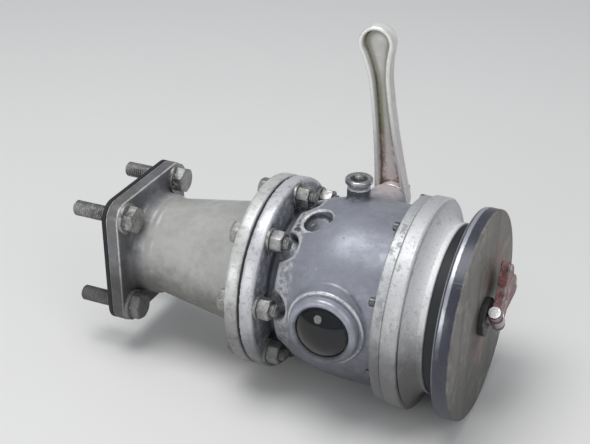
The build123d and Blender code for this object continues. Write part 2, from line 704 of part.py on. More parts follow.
def waist_arc_end(circle_r, distance, half_waist):
    """Where an arc that leaves the waist meets a circle smoothly, as (across, along) from its centre."""
    arc_r = (distance**2 + half_waist**2 - circle_r**2) / (2 * (circle_r - half_waist))
    reach = circle_r / (circle_r + arc_r)
    return (half_waist + arc_r) * reach, distance * reach


def lever_outline(inset):
    """The lever seen along the shaft, upright on its hub: round head, narrow waist and round root."""
    head_r = LEVER_HEAD_D / 2 - inset
    root_r = LEVER_HUB_D / 2 - inset
    waist = LEVER_NECK_W / 2 - inset
    head_x, head_drop = waist_arc_end(head_r, LEVER_LENGTH - LEVER_NECK_AT, waist)
    root_x, root_rise = waist_arc_end(root_r, LEVER_NECK_AT, waist)
    head_z = LEVER_LENGTH - head_drop
    edges = [
        ThreePointArc((-root_x, root_rise), (0, -root_r), (root_x, root_rise)),
        TangentArc((waist, LEVER_NECK_AT), (root_x, root_rise), tangent=(0, -1)),
        TangentArc((waist, LEVER_NECK_AT), (head_x, head_z), tangent=(0, 1)),
        ThreePointArc((head_x, head_z), (0, LEVER_LENGTH + head_r), (-head_x, head_z)),
        TangentArc((-waist, LEVER_NECK_AT), (-head_x, head_z), tangent=(0, 1)),
        TangentArc((-waist, LEVER_NECK_AT), (-root_x, root_rise), tangent=(0, -1)),
    ]
    return make_face(edges)


def lever():
    """A cast lever: a channel between raised rims, open towards the valve, on a solid hub."""
    hub_back = SHAFT_BOSS_OUT + GLAND_T + GLAND_LEVER_GAP
    place = Pos(SHAFT_X, hub_back, SHAFT_Z) * Rot(Y=LEVER_LEAN_DEG) * Rot(X=90)
    solid = extrude(lever_outline(0), LEVER_DEPTH, dir=(0, 0, -1))
    channel = lever_outline(LEVER_WALL) - Circle(LEVER_HUB_D / 2)
    recess = extrude(channel, LEVER_DEPTH - LEVER_FLOOR_T, dir=(0, 0, -1))
    side = LEVER_SQUARE + 2 * RUNNING_GAP
    return place * (solid - recess - Box(side, side, THROUGH))


def lever_washer():
    start = SHAFT_BOSS_OUT + GLAND_T + GLAND_LEVER_GAP + LEVER_DEPTH
    ring = rod_y(LEVER_WASHER_D / 2, SHAFT_X, SHAFT_Z, start, start + LEVER_WASHER_T)
    return ring - rod_y(LEVER_THREAD_D / 2 + SEAT_GAP, SHAFT_X, SHAFT_Z, start, start + LEVER_WASHER_T)


def lever_nut():
    start = SHAFT_BOSS_OUT + GLAND_T + GLAND_LEVER_GAP + LEVER_DEPTH + LEVER_WASHER_T
    nut = hex_y(LEVER_NUT_ACROSS, SHAFT_X, SHAFT_Z, start, start + LEVER_NUT_T)
    return nut - rod_y(LEVER_THREAD_D / 2 + SEAT_GAP, SHAFT_X, SHAFT_Z, start, start + LEVER_NUT_T)


def at_sight(piece):
    """Puts a piece that stands along X on the sight glass's boss, with X pointing out of it."""
    return Pos(FLANGE_FRONT + SIGHT_AT, -SIGHT_BOSS_OUT, SIGHT_Z) * Rot(Z=-90) * piece


def about_sight(outline):
    """A solid turned about the sight glass's axis from (distance out of the boss, radius) points."""
    return at_sight(turned(outline))


def sight_bezel():
    """The ring that holds the glass, screwed to its boss, with a rounded rim."""
    opening = BEZEL_OPENING_D / 2
    pocket = SIGHT_GLASS_D / 2 + SEAT_GAP
    lip_back = BEZEL_T - BEZEL_LIP_T
    round_r = BEZEL_D / 2 - opening - BEZEL_MOUTH_CHAMFER - BEZEL_LAND_W
    return at_sight(
        turned_rounded(
            [
                (0, pocket, 0),
                (0, BEZEL_D / 2, 0),
                (BEZEL_T, BEZEL_D / 2, round_r),
                (BEZEL_T, opening + BEZEL_MOUTH_CHAMFER, 0),
                (BEZEL_T - BEZEL_MOUTH_CHAMFER, opening, 0),
                (lip_back, opening, 0),
                (lip_back, pocket, 0),
            ]
        )
    )


def sight_seal():
    outer = SIGHT_GLASS_D / 2
    inner = SIGHT_BORE_D / 2
    return about_sight([(0, inner), (0, outer), (SIGHT_SEAL_T, outer), (SIGHT_SEAL_T, inner)])


def sight_glass():
    """A glass disc with a dome that stands out of the bezel."""
    disc_front = BEZEL_T - BEZEL_LIP_T
    rim = SIGHT_GLASS_D / 2
    dome_r = SIGHT_DOME_D / 2
    foot = BEZEL_T - RIM_CHAMFER
    crown = foot + SIGHT_DOME_RISE
    sphere_r = (dome_r**2 + SIGHT_DOME_RISE**2) / (2 * SIGHT_DOME_RISE)
    edges = [
        Polyline((crown, 0), (SIGHT_SEAL_T, 0), (SIGHT_SEAL_T, rim), (disc_front, rim)),
        Polyline((disc_front, rim), (disc_front, dome_r), (foot, dome_r)),
        RadiusArc((foot, dome_r), (crown, 0), sphere_r),
    ]
    return at_sight(revolve(make_face(edges), Axis.X))


def top_plug():
    place = Pos(FLANGE_FRONT + PLUG_AT, PLUG_Y, PLUG_BOSS_TOP)
    head = extrude(Circle(PLUG_D / 2), PLUG_T)
    head = chamfer(head.edges().filter_by(GeomType.CIRCLE).sort_by(Axis.Z)[-1], RIM_CHAMFER)
    socket = Pos(Z=PLUG_T - PLUG_SOCKET_DEPTH) * extrude(
        RegularPolygon(PLUG_SOCKET_ACROSS / 2, 6, major_radius=False), PLUG_SOCKET_DEPTH
    )
    thread = Pos(Z=-PLUG_THREAD_L) * extrude(Circle(PLUG_THREAD_D / 2), PLUG_THREAD_L)
    return place * (head - socket + thread)


def cover():
    rim = COVER_D / 2
    disc = turned(
        [
            (COVER_BACK, 0),
            (COVER_BACK, rim - COVER_BACK_CHAMFER),
            (COVER_BACK + COVER_BACK_CHAMFER, rim),
            (COVER_FRONT - COVER_FACE_R, rim),
            (COVER_FRONT, rim - COVER_FACE_R),
            (COVER_FRONT, 0),
        ]
    )
    return disc - rod_x(DRAW_BOLT_D / 2 + SEAT_GAP, COVER_BACK, COVER_FRONT)


def cover_rubber():
    """A ring between the lip and the cover, with a spigot that enters the mouth."""
    lip = LIP_FACE + CLEAR_GAP
    mouth = MOUTH_D / 2 - CLEAR_GAP
    end = LIP_FACE - RUBBER_SPIGOT_L
    outer = RUBBER_D / 2
    return turned(
        [
            (end, mouth - RUBBER_WALL),
            (end, mouth),
            (lip, mouth),
            (lip, outer),
            (COVER_BACK, outer),
            (COVER_BACK, mouth - RUBBER_WALL),
        ]
    )


def cover_plate():
    """The plate behind the rubber that the draw bolt pulls against it."""
    end = LIP_FACE - RUBBER_SPIGOT_L + PLATE_GAP
    outer = MOUTH_D / 2 - CLEAR_GAP - RUBBER_WALL - SEAT_GAP
    floor = end + PLATE_T
    inner = outer - PLATE_T
    dish = [(end, 0), (end, outer), (COVER_BACK, outer), (COVER_BACK, inner), (floor, inner), (floor, 0)]
    return turned(dish) - rod_x(DRAW_BOLT_D / 2 + SEAT_GAP, end, COVER_BACK)


def draw_bolt():
    """The bolt through the cover that ends in the eye of the grip's pin."""
    bolt = rod_x(DRAW_BOLT_D / 2, LIP_FACE - RUBBER_SPIGOT_L + PLATE_GAP, GRIP_PIN_X)
    eye = Pos(X=GRIP_PIN_X) * Cylinder(DRAW_EYE_D / 2, DRAW_EYE_W)
    pin_hole = Pos(X=GRIP_PIN_X) * Cylinder(GRIP_PIN_D / 2 + SEAT_GAP, THROUGH)
    return bolt + grip_turn() * (eye - pin_hole) - grip_turn() * pin_hole


def grip_turn():
    """Turns +Y to the grip's direction on the cover's face."""
    return Rot(X=GRIP_ANGLE_DEG)


def cover_hub():
    """The boss on the cover's face that the grip's cam presses on."""
    return tube_x(HUB_D / 2, DRAW_BOLT_D / 2 + SEAT_GAP, COVER_FRONT, HUB_FRONT)


def cheek_inner():
    """How far each cheek of the grip stands from the middle of the draw bolt."""
    return DRAW_BOLT_D / 2 + GRIP_CHEEK_GAP


def grip_pin():
    half = cheek_inner() + GRIP_CHEEK_W + GRIP_CHEEK_GAP
    pin = Cylinder(GRIP_PIN_D / 2, 2 * half)
    for side in (-1, 1):
        pin += Pos(Z=side * (half + GRIP_PIN_HEAD_T / 2)) * Cylinder(GRIP_PIN_HEAD_D / 2, GRIP_PIN_HEAD_T)
    return grip_turn() * Pos(X=GRIP_PIN_X) * pin


def grip():
    """Two cheeks on the pin that fan out into a flat paddle with finger scallops along its end."""
    root = cheek_inner() + GRIP_CHEEK_W
    tip = GRIP_TIP_W / 2
    outline = make_face(
        Polyline((0, -root), (GRIP_FAN_FROM, -root), (GRIP_LENGTH, -tip), (GRIP_LENGTH, tip),
                 (GRIP_FAN_FROM, root), (0, root), close=True)
    )
    outline = fillet(outline.vertices().sort_by(Axis.X)[-2:], GRIP_CORNER_R)
    pitch = GRIP_TIP_W / GRIP_SCALLOPS
    for place in range(GRIP_SCALLOPS):
        across = pitch * (place - (GRIP_SCALLOPS - 1) / 2)
        outline -= Pos(GRIP_LENGTH + GRIP_SCALLOP_R - GRIP_SCALLOP_DEPTH, across) * Circle(GRIP_SCALLOP_R)
    slot_end = DRAW_EYE_D / 2 + CLEAR_GAP
    outline -= Pos((slot_end - GRIP_CAM_D) / 2, 0) * Rectangle(slot_end + GRIP_CAM_D, 2 * cheek_inner())
    paddle = extrude(Plane.YZ.offset(GRIP_PIN_X - GRIP_T / 2) * outline, GRIP_T, dir=(1, 0, 0))
    cam = Cylinder(GRIP_CAM_D / 2, GRIP_CHEEK_W)
    for side in (-1, 1):
        paddle += Pos(GRIP_PIN_X, 0, side * (root - GRIP_CHEEK_W / 2)) * cam
    paddle -= Pos(X=GRIP_PIN_X) * Cylinder(GRIP_PIN_D / 2 + RUNNING_GAP, THROUGH)
    return grip_turn() * paddle


PIECES = [
    ("tank_gasket", tank_gasket),
    ("spool", spool),
    ("tank_bolts", tank_bolts),
    ("tank_washers", tank_washers),
    ("flange_gasket", flange_gasket),
    ("flange_bolts", flange_bolts),
    ("flange_washers", flange_washers),
    ("flange_nuts", flange_nuts),
    ("valve_body", valve_body),
    ("clamp_ring", clamp_ring),
    ("ring_screws", ring_screws),
    ("nose_adaptor", nose_adaptor),
    ("sight_bezel", sight_bezel),
    ("sight_seal", sight_seal),
    ("sight_glass", sight_glass),
    ("top_plug", top_plug),
    ("shaft_gland", shaft_gland),
    ("stem_guide", stem_guide),
    ("lever_shaft", lever_shaft),
    ("crank", crank),
    ("lever", lever),
    ("lever_washer", lever_washer),
    ("lever_nut", lever_nut),
    ("poppet", poppet),
    ("poppet_seal", poppet_seal),
    ("stem", stem),
    ("cover", cover),
    ("cover_rubber", cover_rubber),
    ("cover_plate", cover_plate),
    ("draw_bolt", draw_bolt),
    ("cover_hub", cover_hub),
    ("grip_pin", grip_pin),
    ("grip", grip),
]


def write(name, piece):
    solids = piece if isinstance(piece, list) else [piece]
    whole = Compound(children=[solid for item in solids for solid in item.solids()])
    export_step(whole, os.path.join("parts", name + ".step"))


os.makedirs("parts", exist_ok=True)
for name, make in PIECES:
    write(name, make())
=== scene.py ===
"""Looks of a road tanker's discharge valve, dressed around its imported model.

Lengths are in metres. X runs outboard along the flow, Y along the vehicle, Z up.
"""

import logging
import math
from collections.abc import Callable, Iterator, Sequence
from contextlib import contextmanager
from dataclasses import dataclass
from enum import Enum

import bpy
import numpy as np
from mathutils import Matrix, Vector


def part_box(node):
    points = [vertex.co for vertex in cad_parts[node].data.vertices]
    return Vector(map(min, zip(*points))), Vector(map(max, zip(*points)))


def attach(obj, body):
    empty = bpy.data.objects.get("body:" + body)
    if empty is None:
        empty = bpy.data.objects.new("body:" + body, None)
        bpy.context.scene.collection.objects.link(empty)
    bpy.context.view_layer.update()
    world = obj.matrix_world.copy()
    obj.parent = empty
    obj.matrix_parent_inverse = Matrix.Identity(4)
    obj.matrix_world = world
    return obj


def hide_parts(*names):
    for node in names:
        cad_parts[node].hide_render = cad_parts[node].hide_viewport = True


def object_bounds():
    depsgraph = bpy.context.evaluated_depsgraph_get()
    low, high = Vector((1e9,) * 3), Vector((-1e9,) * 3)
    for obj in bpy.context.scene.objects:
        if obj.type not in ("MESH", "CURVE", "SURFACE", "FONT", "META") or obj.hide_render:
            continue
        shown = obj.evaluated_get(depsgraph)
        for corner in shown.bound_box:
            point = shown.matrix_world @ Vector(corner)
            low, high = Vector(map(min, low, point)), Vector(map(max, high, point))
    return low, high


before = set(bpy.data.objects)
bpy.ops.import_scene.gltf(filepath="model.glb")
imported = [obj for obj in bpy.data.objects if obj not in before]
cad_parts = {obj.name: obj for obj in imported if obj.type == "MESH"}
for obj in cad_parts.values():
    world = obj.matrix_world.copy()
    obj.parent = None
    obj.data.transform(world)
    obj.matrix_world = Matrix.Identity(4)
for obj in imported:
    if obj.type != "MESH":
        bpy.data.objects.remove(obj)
CAD_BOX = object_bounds()
MM = 0.001
# Vertices that lie closer together than this are one
MERGE = 1e-6
# The round flanges: their outer radius, their bolts' circle and the first bolt's angle from +Y in degrees
FLANGE_RIM_R = 71.45 * MM
FLANGE_CIRCLE = 61.9 * MM
FLANGE_TURN = -5.0

Color = tuple[float, float, float]
Point = tuple[float, float, float]
Outline = Sequence[tuple[float, float]]
Object = bpy.types.Object
Socket = bpy.types.NodeSocket

log = logging.getLogger("valve")


class Body(Enum):
    """The CAD bodies that new pieces ride on."""

    VALVE = "valve"
    LEVER = "lever"
    COVER = "cover"
    GRIP = "grip"


class Slot(Enum):
    """The record's material slots, which new pieces are passed along with."""

    SPOOL = "spool_paint"
    STEEL = "plated_steel"
    BODY = "dark_casting"
    LEVER = "lever_casting"
    GLASS = "sight_glass"
    COVER = "cover_paint"
    HUB = "hub_casting"
    RED = "red_paint"
    BRIGHT = "bright_steel"


class Along(Enum):
    """The way a piece that is modelled along +X is turned to."""

    OUTBOARD = Matrix.Identity(3)
    INBOARD = Matrix.Rotation(math.pi, 3, "Z")
    REARWARD = Matrix.Rotation(-math.pi / 2, 3, "Z")
    FORWARD = Matrix.Rotation(math.pi / 2, 3, "Z")
    UP = Matrix.Rotation(-math.pi / 2, 3, "Y")


# Selection and editing


def select_only(*pieces: Object) -> None:
    """Makes these objects the only selected ones, and the first of them active.

    Args:
        pieces: The objects to select.
    """
    bpy.ops.object.select_all(action="DESELECT")
    for piece in pieces:
        piece.select_set(True)
    bpy.context.view_layer.objects.active = pieces[0]


@contextmanager
def edit_mode(piece: Object, kind: str = "VERT") -> Iterator[None]:
    """Opens one object in edit mode with nothing selected, and leaves edit mode at the end.

    Args:
        piece: The object to edit.
        kind: The select mode: VERT, EDGE or FACE.
    """
    select_only(piece)
    bpy.ops.object.mode_set(mode="EDIT")
    bpy.ops.mesh.select_mode(type=kind)
    bpy.ops.mesh.select_all(action="DESELECT")
    yield
    bpy.ops.object.mode_set(mode="OBJECT")


def merge(piece: Object, reach: float = MERGE) -> None:
    """Merges the vertices of a piece that lie close together.

    Args:
        piece: The piece.
        reach: How close together they lie.
    """
    with edit_mode(piece):
        bpy.ops.mesh.select_all(action="SELECT")
        bpy.ops.mesh.remove_doubles(threshold=reach)


def face_outwards(piece: Object) -> None:
    """Turns all faces of a closed piece outwards.

    Args:
        piece: The piece.
    """
    with edit_mode(piece):
        bpy.ops.mesh.select_all(action="SELECT")
        bpy.ops.mesh.normals_make_consistent(inside=False)


def apply_modifier(piece: Object, kind: str, **settings: object) -> None:
    """Adds a modifier with these settings to a piece and applies it.

    Args:
        piece: The piece.
        kind: The modifier's type.
        settings: The modifier's values by name.
    """
    select_only(piece)
    modifier = piece.modifiers.new(kind.lower(), kind)
    for name, value in settings.items():
        setattr(modifier, name, value)
    bpy.ops.object.modifier_apply(modifier=modifier.name)


def cut(piece: Object, tool: Object, operation: str = "DIFFERENCE") -> None:
    """Cuts a piece with a tool, or keeps what they share with INTERSECT, and uses up the tool."""
    apply_modifier(piece, "BOOLEAN", operation=operation, object=tool, solver="EXACT")
    bpy.data.objects.remove(tool)


def soften_edges(piece: Object, width: float) -> None:
    """Rounds a piece's sharp edges to this width."""
    least = math.radians(30)
    apply_modifier(piece, "BEVEL", width=width, segments=2, limit_method="ANGLE", angle_limit=least)


def smooth(piece: Object, angle: float = 35.0) -> None:
    """Shades a piece smooth except across edges sharper than the angle, in degrees."""
    select_only(piece)
    bpy.ops.object.shade_smooth_by_angle(angle=math.radians(angle))


def place(piece: Object, way: Along, at: Vector, turn: float = 0.0) -> Object:
    """Turns a piece that was modelled along +X at the origin and puts it at its place.

    Args:
        piece: The piece.
        way: Where its +X goes.
        at: Where its origin goes.
        turn: How far it is first turned about its own X, in degrees.

    Returns:
        The piece, with its place in its mesh.
    """
    spin = Matrix.Rotation(math.radians(turn), 3, "X")
    piece.matrix_world = Matrix.Translation(at) @ (way.value @ spin).to_4x4()
    select_only(piece)
    bpy.ops.object.transform_apply(location=True, rotation=True, scale=True)
    return piece


def copy_mesh(piece: Object, name: str) -> Object:
    """Copies a piece and its mesh.

    Args:
        piece: The piece.
        name: The copy's name.

    Returns:
        The new object.
    """
    twin = bpy.data.objects.new(name, piece.data.copy())
    twin.data.name = name
    bpy.context.scene.collection.objects.link(twin)
    return twin


def join(first: Object, *others: Object) -> Object:
    """Joins pieces into the first of them.

    Args:
        first: The piece that stays.
        others: The pieces that are used up.

    Returns:
        The first piece.
    """
    select_only(first, *others)
    bpy.ops.object.join()
    return first


# Shapes along +X


def fresh(name: str) -> Object:
    """Names the primitive that was just added and puts its place in its mesh.

    Args:
        name: The object's name.

    Returns:
        The object.
    """
    piece = bpy.context.object
    piece.name = piece.data.name = name
    bpy.ops.object.transform_apply(location=True, rotation=True, scale=True)
    return piece


def turned(name: str, outline: Outline, steps: int = 96) -> Object:
    """A turned solid about X: a circle that is extruded and resized along its outline.

    Args:
        name: The object's name.
        outline: (x, radius) points from one end to the other. A radius of 0 closes an end.
        steps: How many sides it has.

    Returns:
        The new object, at the origin.
    """
    (x, radius), *rest = [(x, max(radius, MERGE)) for x, radius in outline]
    bpy.ops.mesh.primitive_circle_add(vertices=steps, radius=radius, rotation=(0, math.pi / 2, 0))
    piece = fresh(name)
    with edit_mode(piece, "EDGE"):
        bpy.ops.mesh.select_all(action="SELECT")
        bpy.ops.transform.translate(value=(x, 0, 0))
        for next_x, next_radius in rest:
            bpy.ops.mesh.extrude_edges_move(TRANSFORM_OT_translate={"value": (next_x - x, 0, 0)})
            share = next_radius / radius
            bpy.ops.transform.resize(value=(1, share, share), center_override=(next_x, 0, 0))
            x, radius = next_x, next_radius
    merge(piece, 10 * MERGE)
    face_outwards(piece)
    return piece


def ring(name: str, outline: Outline, steps: int = 96) -> Object:
    """A turned ring about X, whose outline goes round its section and closes on itself."""
    return turned(name, [*outline, outline[0]], steps)


def washer(name: str, start: float, end: float, bore: float, rim: float, steps: int = 48) -> Object:
    """A flat washer along X, worn at its outer edge.

    Args:
        name: The object's name.
        start: The face that it seats on.
        end: Its other face.
        bore: The hole's radius.
        rim: The outer radius.
        steps: How many sides it has.

    Returns:
        The new object, at the origin.
    """
    edge = 0.4 * MM
    return ring(name, [(start, bore), (start, rim), (end - edge, rim), (end, rim - edge), (end, bore)], steps)


def arc(centre: tuple[float, float], radius: float, start: float, end: float, steps: int = 6) -> Outline:
    """Points on an arc of an outline.

    Args:
        centre: The arc's centre as (x, radius from the axis).
        radius: The arc's radius.
        start: The first point's angle, in degrees from +X.
        end: The last point's angle.
        steps: How many stretches it has.

    Returns:
        (x, radius) points.
    """
    angles = [math.radians(start + (end - start) * step / steps) for step in range(steps + 1)]
    return [(centre[0] + radius * math.cos(a), centre[1] + radius * math.sin(a)) for a in angles]


def hexagon(name: str, across: float, start: float, end: float) -> Object:
    """A plain hexagonal bar along X.

    Args:
        name: The object's name.
        across: The size across the flats.
        start: The first end.
        end: The last end.

    Returns:
        The new object, at the origin.
    """
    corner, centre, along = across / math.sqrt(3), ((start + end) / 2, 0, 0), (0, math.pi / 2, 0)
    bpy.ops.mesh.primitive_cylinder_add(
        vertices=6, radius=corner, depth=end - start, location=centre, rotation=along
    )
    return fresh(name)


def crowned_hexagon(name: str, across: float, start: float, end: float, both: bool = False) -> Object:
    """A hexagonal bar whose corners are turned down at its last end, as on a bolt's head.

    Args:
        name: The object's name.
        across: The size across the flats.
        start: The first end.
        end: The last end.
        both: Whether the first end's corners are turned down too, as on a nut.

    Returns:
        The new object, at the origin.
    """
    corner, inner = across / math.sqrt(3), across / 2 * 0.97
    wide = corner * 1.05
    drop = (wide - inner) * math.tan(math.radians(30))
    outline = [(start, 0), (start, inner if both else wide), (start + (drop if both else 0), wide)]
    outline += [(end - drop, wide), (end, inner), (end, 0)]
    piece = hexagon(name, across, start, end)
    cut(piece, turned("crown", outline, 48), "INTERSECT")
    return piece


def thread(name: str, radius: float, pitch: float, start: float, end: float, steps: int = 24) -> Object:
    """A threaded bar along X with a bevelled end.

    Args:
        name: The object's name.
        radius: The thread's outer radius.
        pitch: Its pitch.
        start: Where it starts.
        end: Its bevelled end.
        steps: How many sides a turn has.

    Returns:
        The new object, at the origin.
    """
    root, first = radius - pitch * 0.5, start - 2 * pitch
    bpy.ops.mesh.primitive_circle_add(vertices=4, radius=radius)
    piece = fresh(name)
    with edit_mode(piece, "EDGE"):
        bpy.ops.object.mode_set(mode="OBJECT")
        for edge in piece.data.edges:
            edge.select = set(edge.vertices) == {0, 3}
        bpy.ops.object.mode_set(mode="EDIT")
        bpy.ops.mesh.delete(type="EDGE")
    profile = ((0, root), (0.4, radius), (0.55, radius), (1, root))
    for vertex, (share, out) in zip(piece.data.vertices, profile, strict=True):
        vertex.co = (first + share * pitch, out, 0)
    rounds = math.ceil((end - start) / pitch) + 4
    apply_modifier(
        piece, "SCREW", axis="X", steps=steps, render_steps=steps, screw_offset=pitch, iterations=rounds,
        use_merge_vertices=True,
    )
    merge(piece)
    for x, beyond in ((start, (-1, 0, 0)), (end, (1, 0, 0))):
        with edit_mode(piece):
            bpy.ops.mesh.select_all(action="SELECT")
            bpy.ops.mesh.bisect(
                plane_co=(x, 0, 0), plane_no=beyond, use_fill=True, clear_outer=True, threshold=MERGE
            )
        face_outwards(piece)
    bevel, reach = pitch * 0.6, 2 * radius
    blank = [(start - bevel, 0), (start - bevel, reach), (end - bevel - (reach - radius), reach)]
    blank += [(end + bevel, root - bevel), (end + bevel, 0)]
    cut(piece, turned("blank", blank, steps), "INTERSECT")
    return piece


# Copies of CAD nodes with soft edges


def cast_copy(node: str, name: str, cell: float, rounds: int, **relief: tuple[int, float]) -> Object:
    """A copy of a CAD node with the soft edges and corners of a casting.

    Args:
        node: The CAD node.
        name: The copy's name.
        cell: The size of the new mesh's faces.
        rounds: How many times its surface is smoothed.
        relief: For each attribute to store, the rounds and the full height that measure_relief takes.

    Returns:
        The new object, where the node is.
    """
    piece = copy_mesh(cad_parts[node], name)
    select_only(piece)
    bpy.ops.mesh.customdata_custom_splitnormals_clear()
    merge(piece)
    apply_modifier(piece, "REMESH", mode="VOXEL", voxel_size=cell, use_smooth_shade=True)
    apply_modifier(piece, "SMOOTH", factor=0.5, iterations=rounds)
    for attribute, (wide, full) in relief.items():
        measure_relief(piece, attribute, wide, full)
    return piece


def measure_relief(piece: Object, attribute: str, rounds: int, full: float) -> None:
    """Stores how proud each vertex stands of its smoothed surface, for the finish to read.

    Args:
        piece: A piece with an even mesh.
        attribute: The attribute's name. It is 0 in the deepest hollow, 0.5 on a flat and 1 on an edge.
        rounds: How far the surface is smoothed to compare with.
        full: The height that counts as 1.
    """
    mesh = piece.data
    here, normal, there = (np.zeros(len(mesh.vertices) * 3, np.float32) for _ in range(3))
    mesh.vertices.foreach_get("co", here)
    mesh.vertices.foreach_get("normal", normal)
    probe = copy_mesh(piece, "probe")
    apply_modifier(probe, "SMOOTH", factor=0.5, iterations=rounds)
    probe.data.vertices.foreach_get("co", there)
    bpy.data.objects.remove(probe)
    proud = ((here - there) * normal).reshape(-1, 3).sum(1)
    layer = mesh.attributes.new(attribute, "FLOAT", "POINT")
    layer.data.foreach_set("value", np.clip(0.5 + 0.5 * proud / full, 0, 1).astype(np.float32))


# Node trees


class Value:
    """A node's output, which plain arithmetic can be written with."""

    def __init__(self, tree: "Tree", socket: Socket) -> None:
        """Keeps the tree and the output."""
        self.tree, self.socket = tree, socket

    def __add__(self, other: "Number") -> "Value":
        """The sum."""
        return self.tree.math("ADD", self, other)

    def __sub__(self, other: "Number") -> "Value":
        """The difference."""
        return self.tree.math("SUBTRACT", self, other)

    def __rsub__(self, other: float) -> "Value":
        """What is left of a plain number."""
        return self.tree.math("SUBTRACT", other, self)

    def __mul__(self, other: "Number") -> "Value":
        """The product."""
        return self.tree.math("MULTIPLY", self, other)

    def __or__(self, other: "Number") -> "Value":
        """The larger of the two, as where one mask lies over another."""
        return self.tree.math("MAXIMUM", self, other)


Number = Value | float


class Tree:
    """Short ways to add and link the nodes of one tree."""

    def __init__(self, tree: bpy.types.NodeTree) -> None:
        """Keeps the tree."""
        self.tree = tree

    def add(self, kind: str, inputs: dict | None = None, **settings: object) -> bpy.types.Node:
        """Adds a node.

        Args:
            kind: The node's type.
            inputs: What its inputs get, by index or name.
            settings: Its properties by name.

        Returns:
            The node.
        """
        node = self.tree.nodes.new(kind)
        for name, value in settings.items():
            setattr(node, name, value)
        for key, value in (inputs or {}).items():
            self.feed(node.inputs[key], value)
        return node

    def feed(self, target: Socket, value: object) -> None:
        """Links a node's output to an input, or writes a plain value there.

        Args:
            target: The input.
            value: A Value, or a colour, a vector or a number.
        """
        if isinstance(value, Value):
            self.tree.links.new(value.socket, target)
        else:
            target.default_value = (*value, 1.0) if target.type == "RGBA" else value

    def result(self, output: int | str, kind: str, inputs: dict | None = None, **settings: object) -> Value:
        """Adds a node, and gives one of its outputs by index or name."""
        return Value(self, self.add(kind, inputs, **settings).outputs[output])

    def math(self, operation: str, *values: Number, clamp: bool = False) -> Value:
        """A Math node's result."""
        return self.result(0, "ShaderNodeMath", dict(enumerate(values)), operation=operation, use_clamp=clamp)

    def mix(self, share: Number, a: Value | Color, b: Value | Color) -> Value:
        """A colour between a and b."""
        return self.result(2, "ShaderNodeMix", {0: share, 6: a, 7: b}, data_type="RGBA")

    def layered(self, color: Value | Color, *coats: tuple[Value, Value | Color]) -> Value:
        """A colour with others laid over it.

        Args:
            color: The lowest colour.
            coats: The mask and the colour of each coat, from the lowest up.

        Returns:
            The colour that shows.
        """
        for mask, coat in coats:
            color = self.mix(mask, color, coat)
        return color

    def between(
        self, value: Value, low: Number, high: Number, to_low: float = 0.0, to_high: float = 1.0
    ) -> Value:
        """A value brought smoothly from one range to another."""
        inputs = dict(enumerate((value, low, high, to_low, to_high)))
        return self.result(0, "ShaderNodeMapRange", inputs, interpolation_type="SMOOTHSTEP")

    def noise(
        self, at: Value, scale: Number, detail: float = 3.0, rough: float = 0.55, twist: float = 0.0
    ) -> Value:
        """A noise between 0 and 1, mostly near 0.5."""
        inputs = {"Vector": at, "Scale": scale, "Detail": detail, "Roughness": rough, "Distortion": twist}
        return self.result(0, "ShaderNodeTexNoise", inputs)

    def parts(self, at: Value) -> list[Value]:
        """The x, y and z of a vector."""
        return [Value(self, output) for output in self.add("ShaderNodeSeparateXYZ", {0: at}).outputs]

    def vector(self, operation: str, at: Value, other: Point = (0, 0, 0)) -> Value:
        """A Vector Math node's result, a number where the operation gives one."""
        output = "Value" if operation in ("LENGTH", "DISTANCE") else "Vector"
        return self.result(output, "ShaderNodeVectorMath", {0: at, 1: other}, operation=operation)

    def from_axis(self, at: Value) -> Value:
        """The distance from the X axis."""
        return self.vector("LENGTH", self.vector("MULTIPLY", at, (0, 1, 1)))

    def ragged(self, value: Value, at: Value, scale: float, reach: float) -> Value:
        """A value that wanders up and down by up to half the reach."""
        return value + (self.noise(at, scale, 6.0, 0.7) - 0.5) * reach

    def near(self, at: Value, spot: Point, reach: float) -> Value:
        """A ragged patch round a point: 1 in its middle and 0 past its reach."""
        distance = self.ragged(self.vector("DISTANCE", at, spot), at, 95.0, reach)
        return self.between(distance, reach, 0.5 * reach)

    def mapped(
        self, at: Value, shift: Point = (0, 0, 0), turn: Point = (0, 0, 0), scale: Point = (1, 1, 1)
    ) -> Value:
        """Coordinates that are moved, turned and stretched."""
        inputs = {"Vector": at, "Location": shift, "Rotation": turn, "Scale": scale}
        return self.result(0, "ShaderNodeMapping", inputs, vector_type="POINT")

    def stored(self, attribute: str) -> Value:
        """A number that is stored on the mesh."""
        return self.result("Fac", "ShaderNodeAttribute", attribute_name=attribute)


Outputs = dict[str, Value]


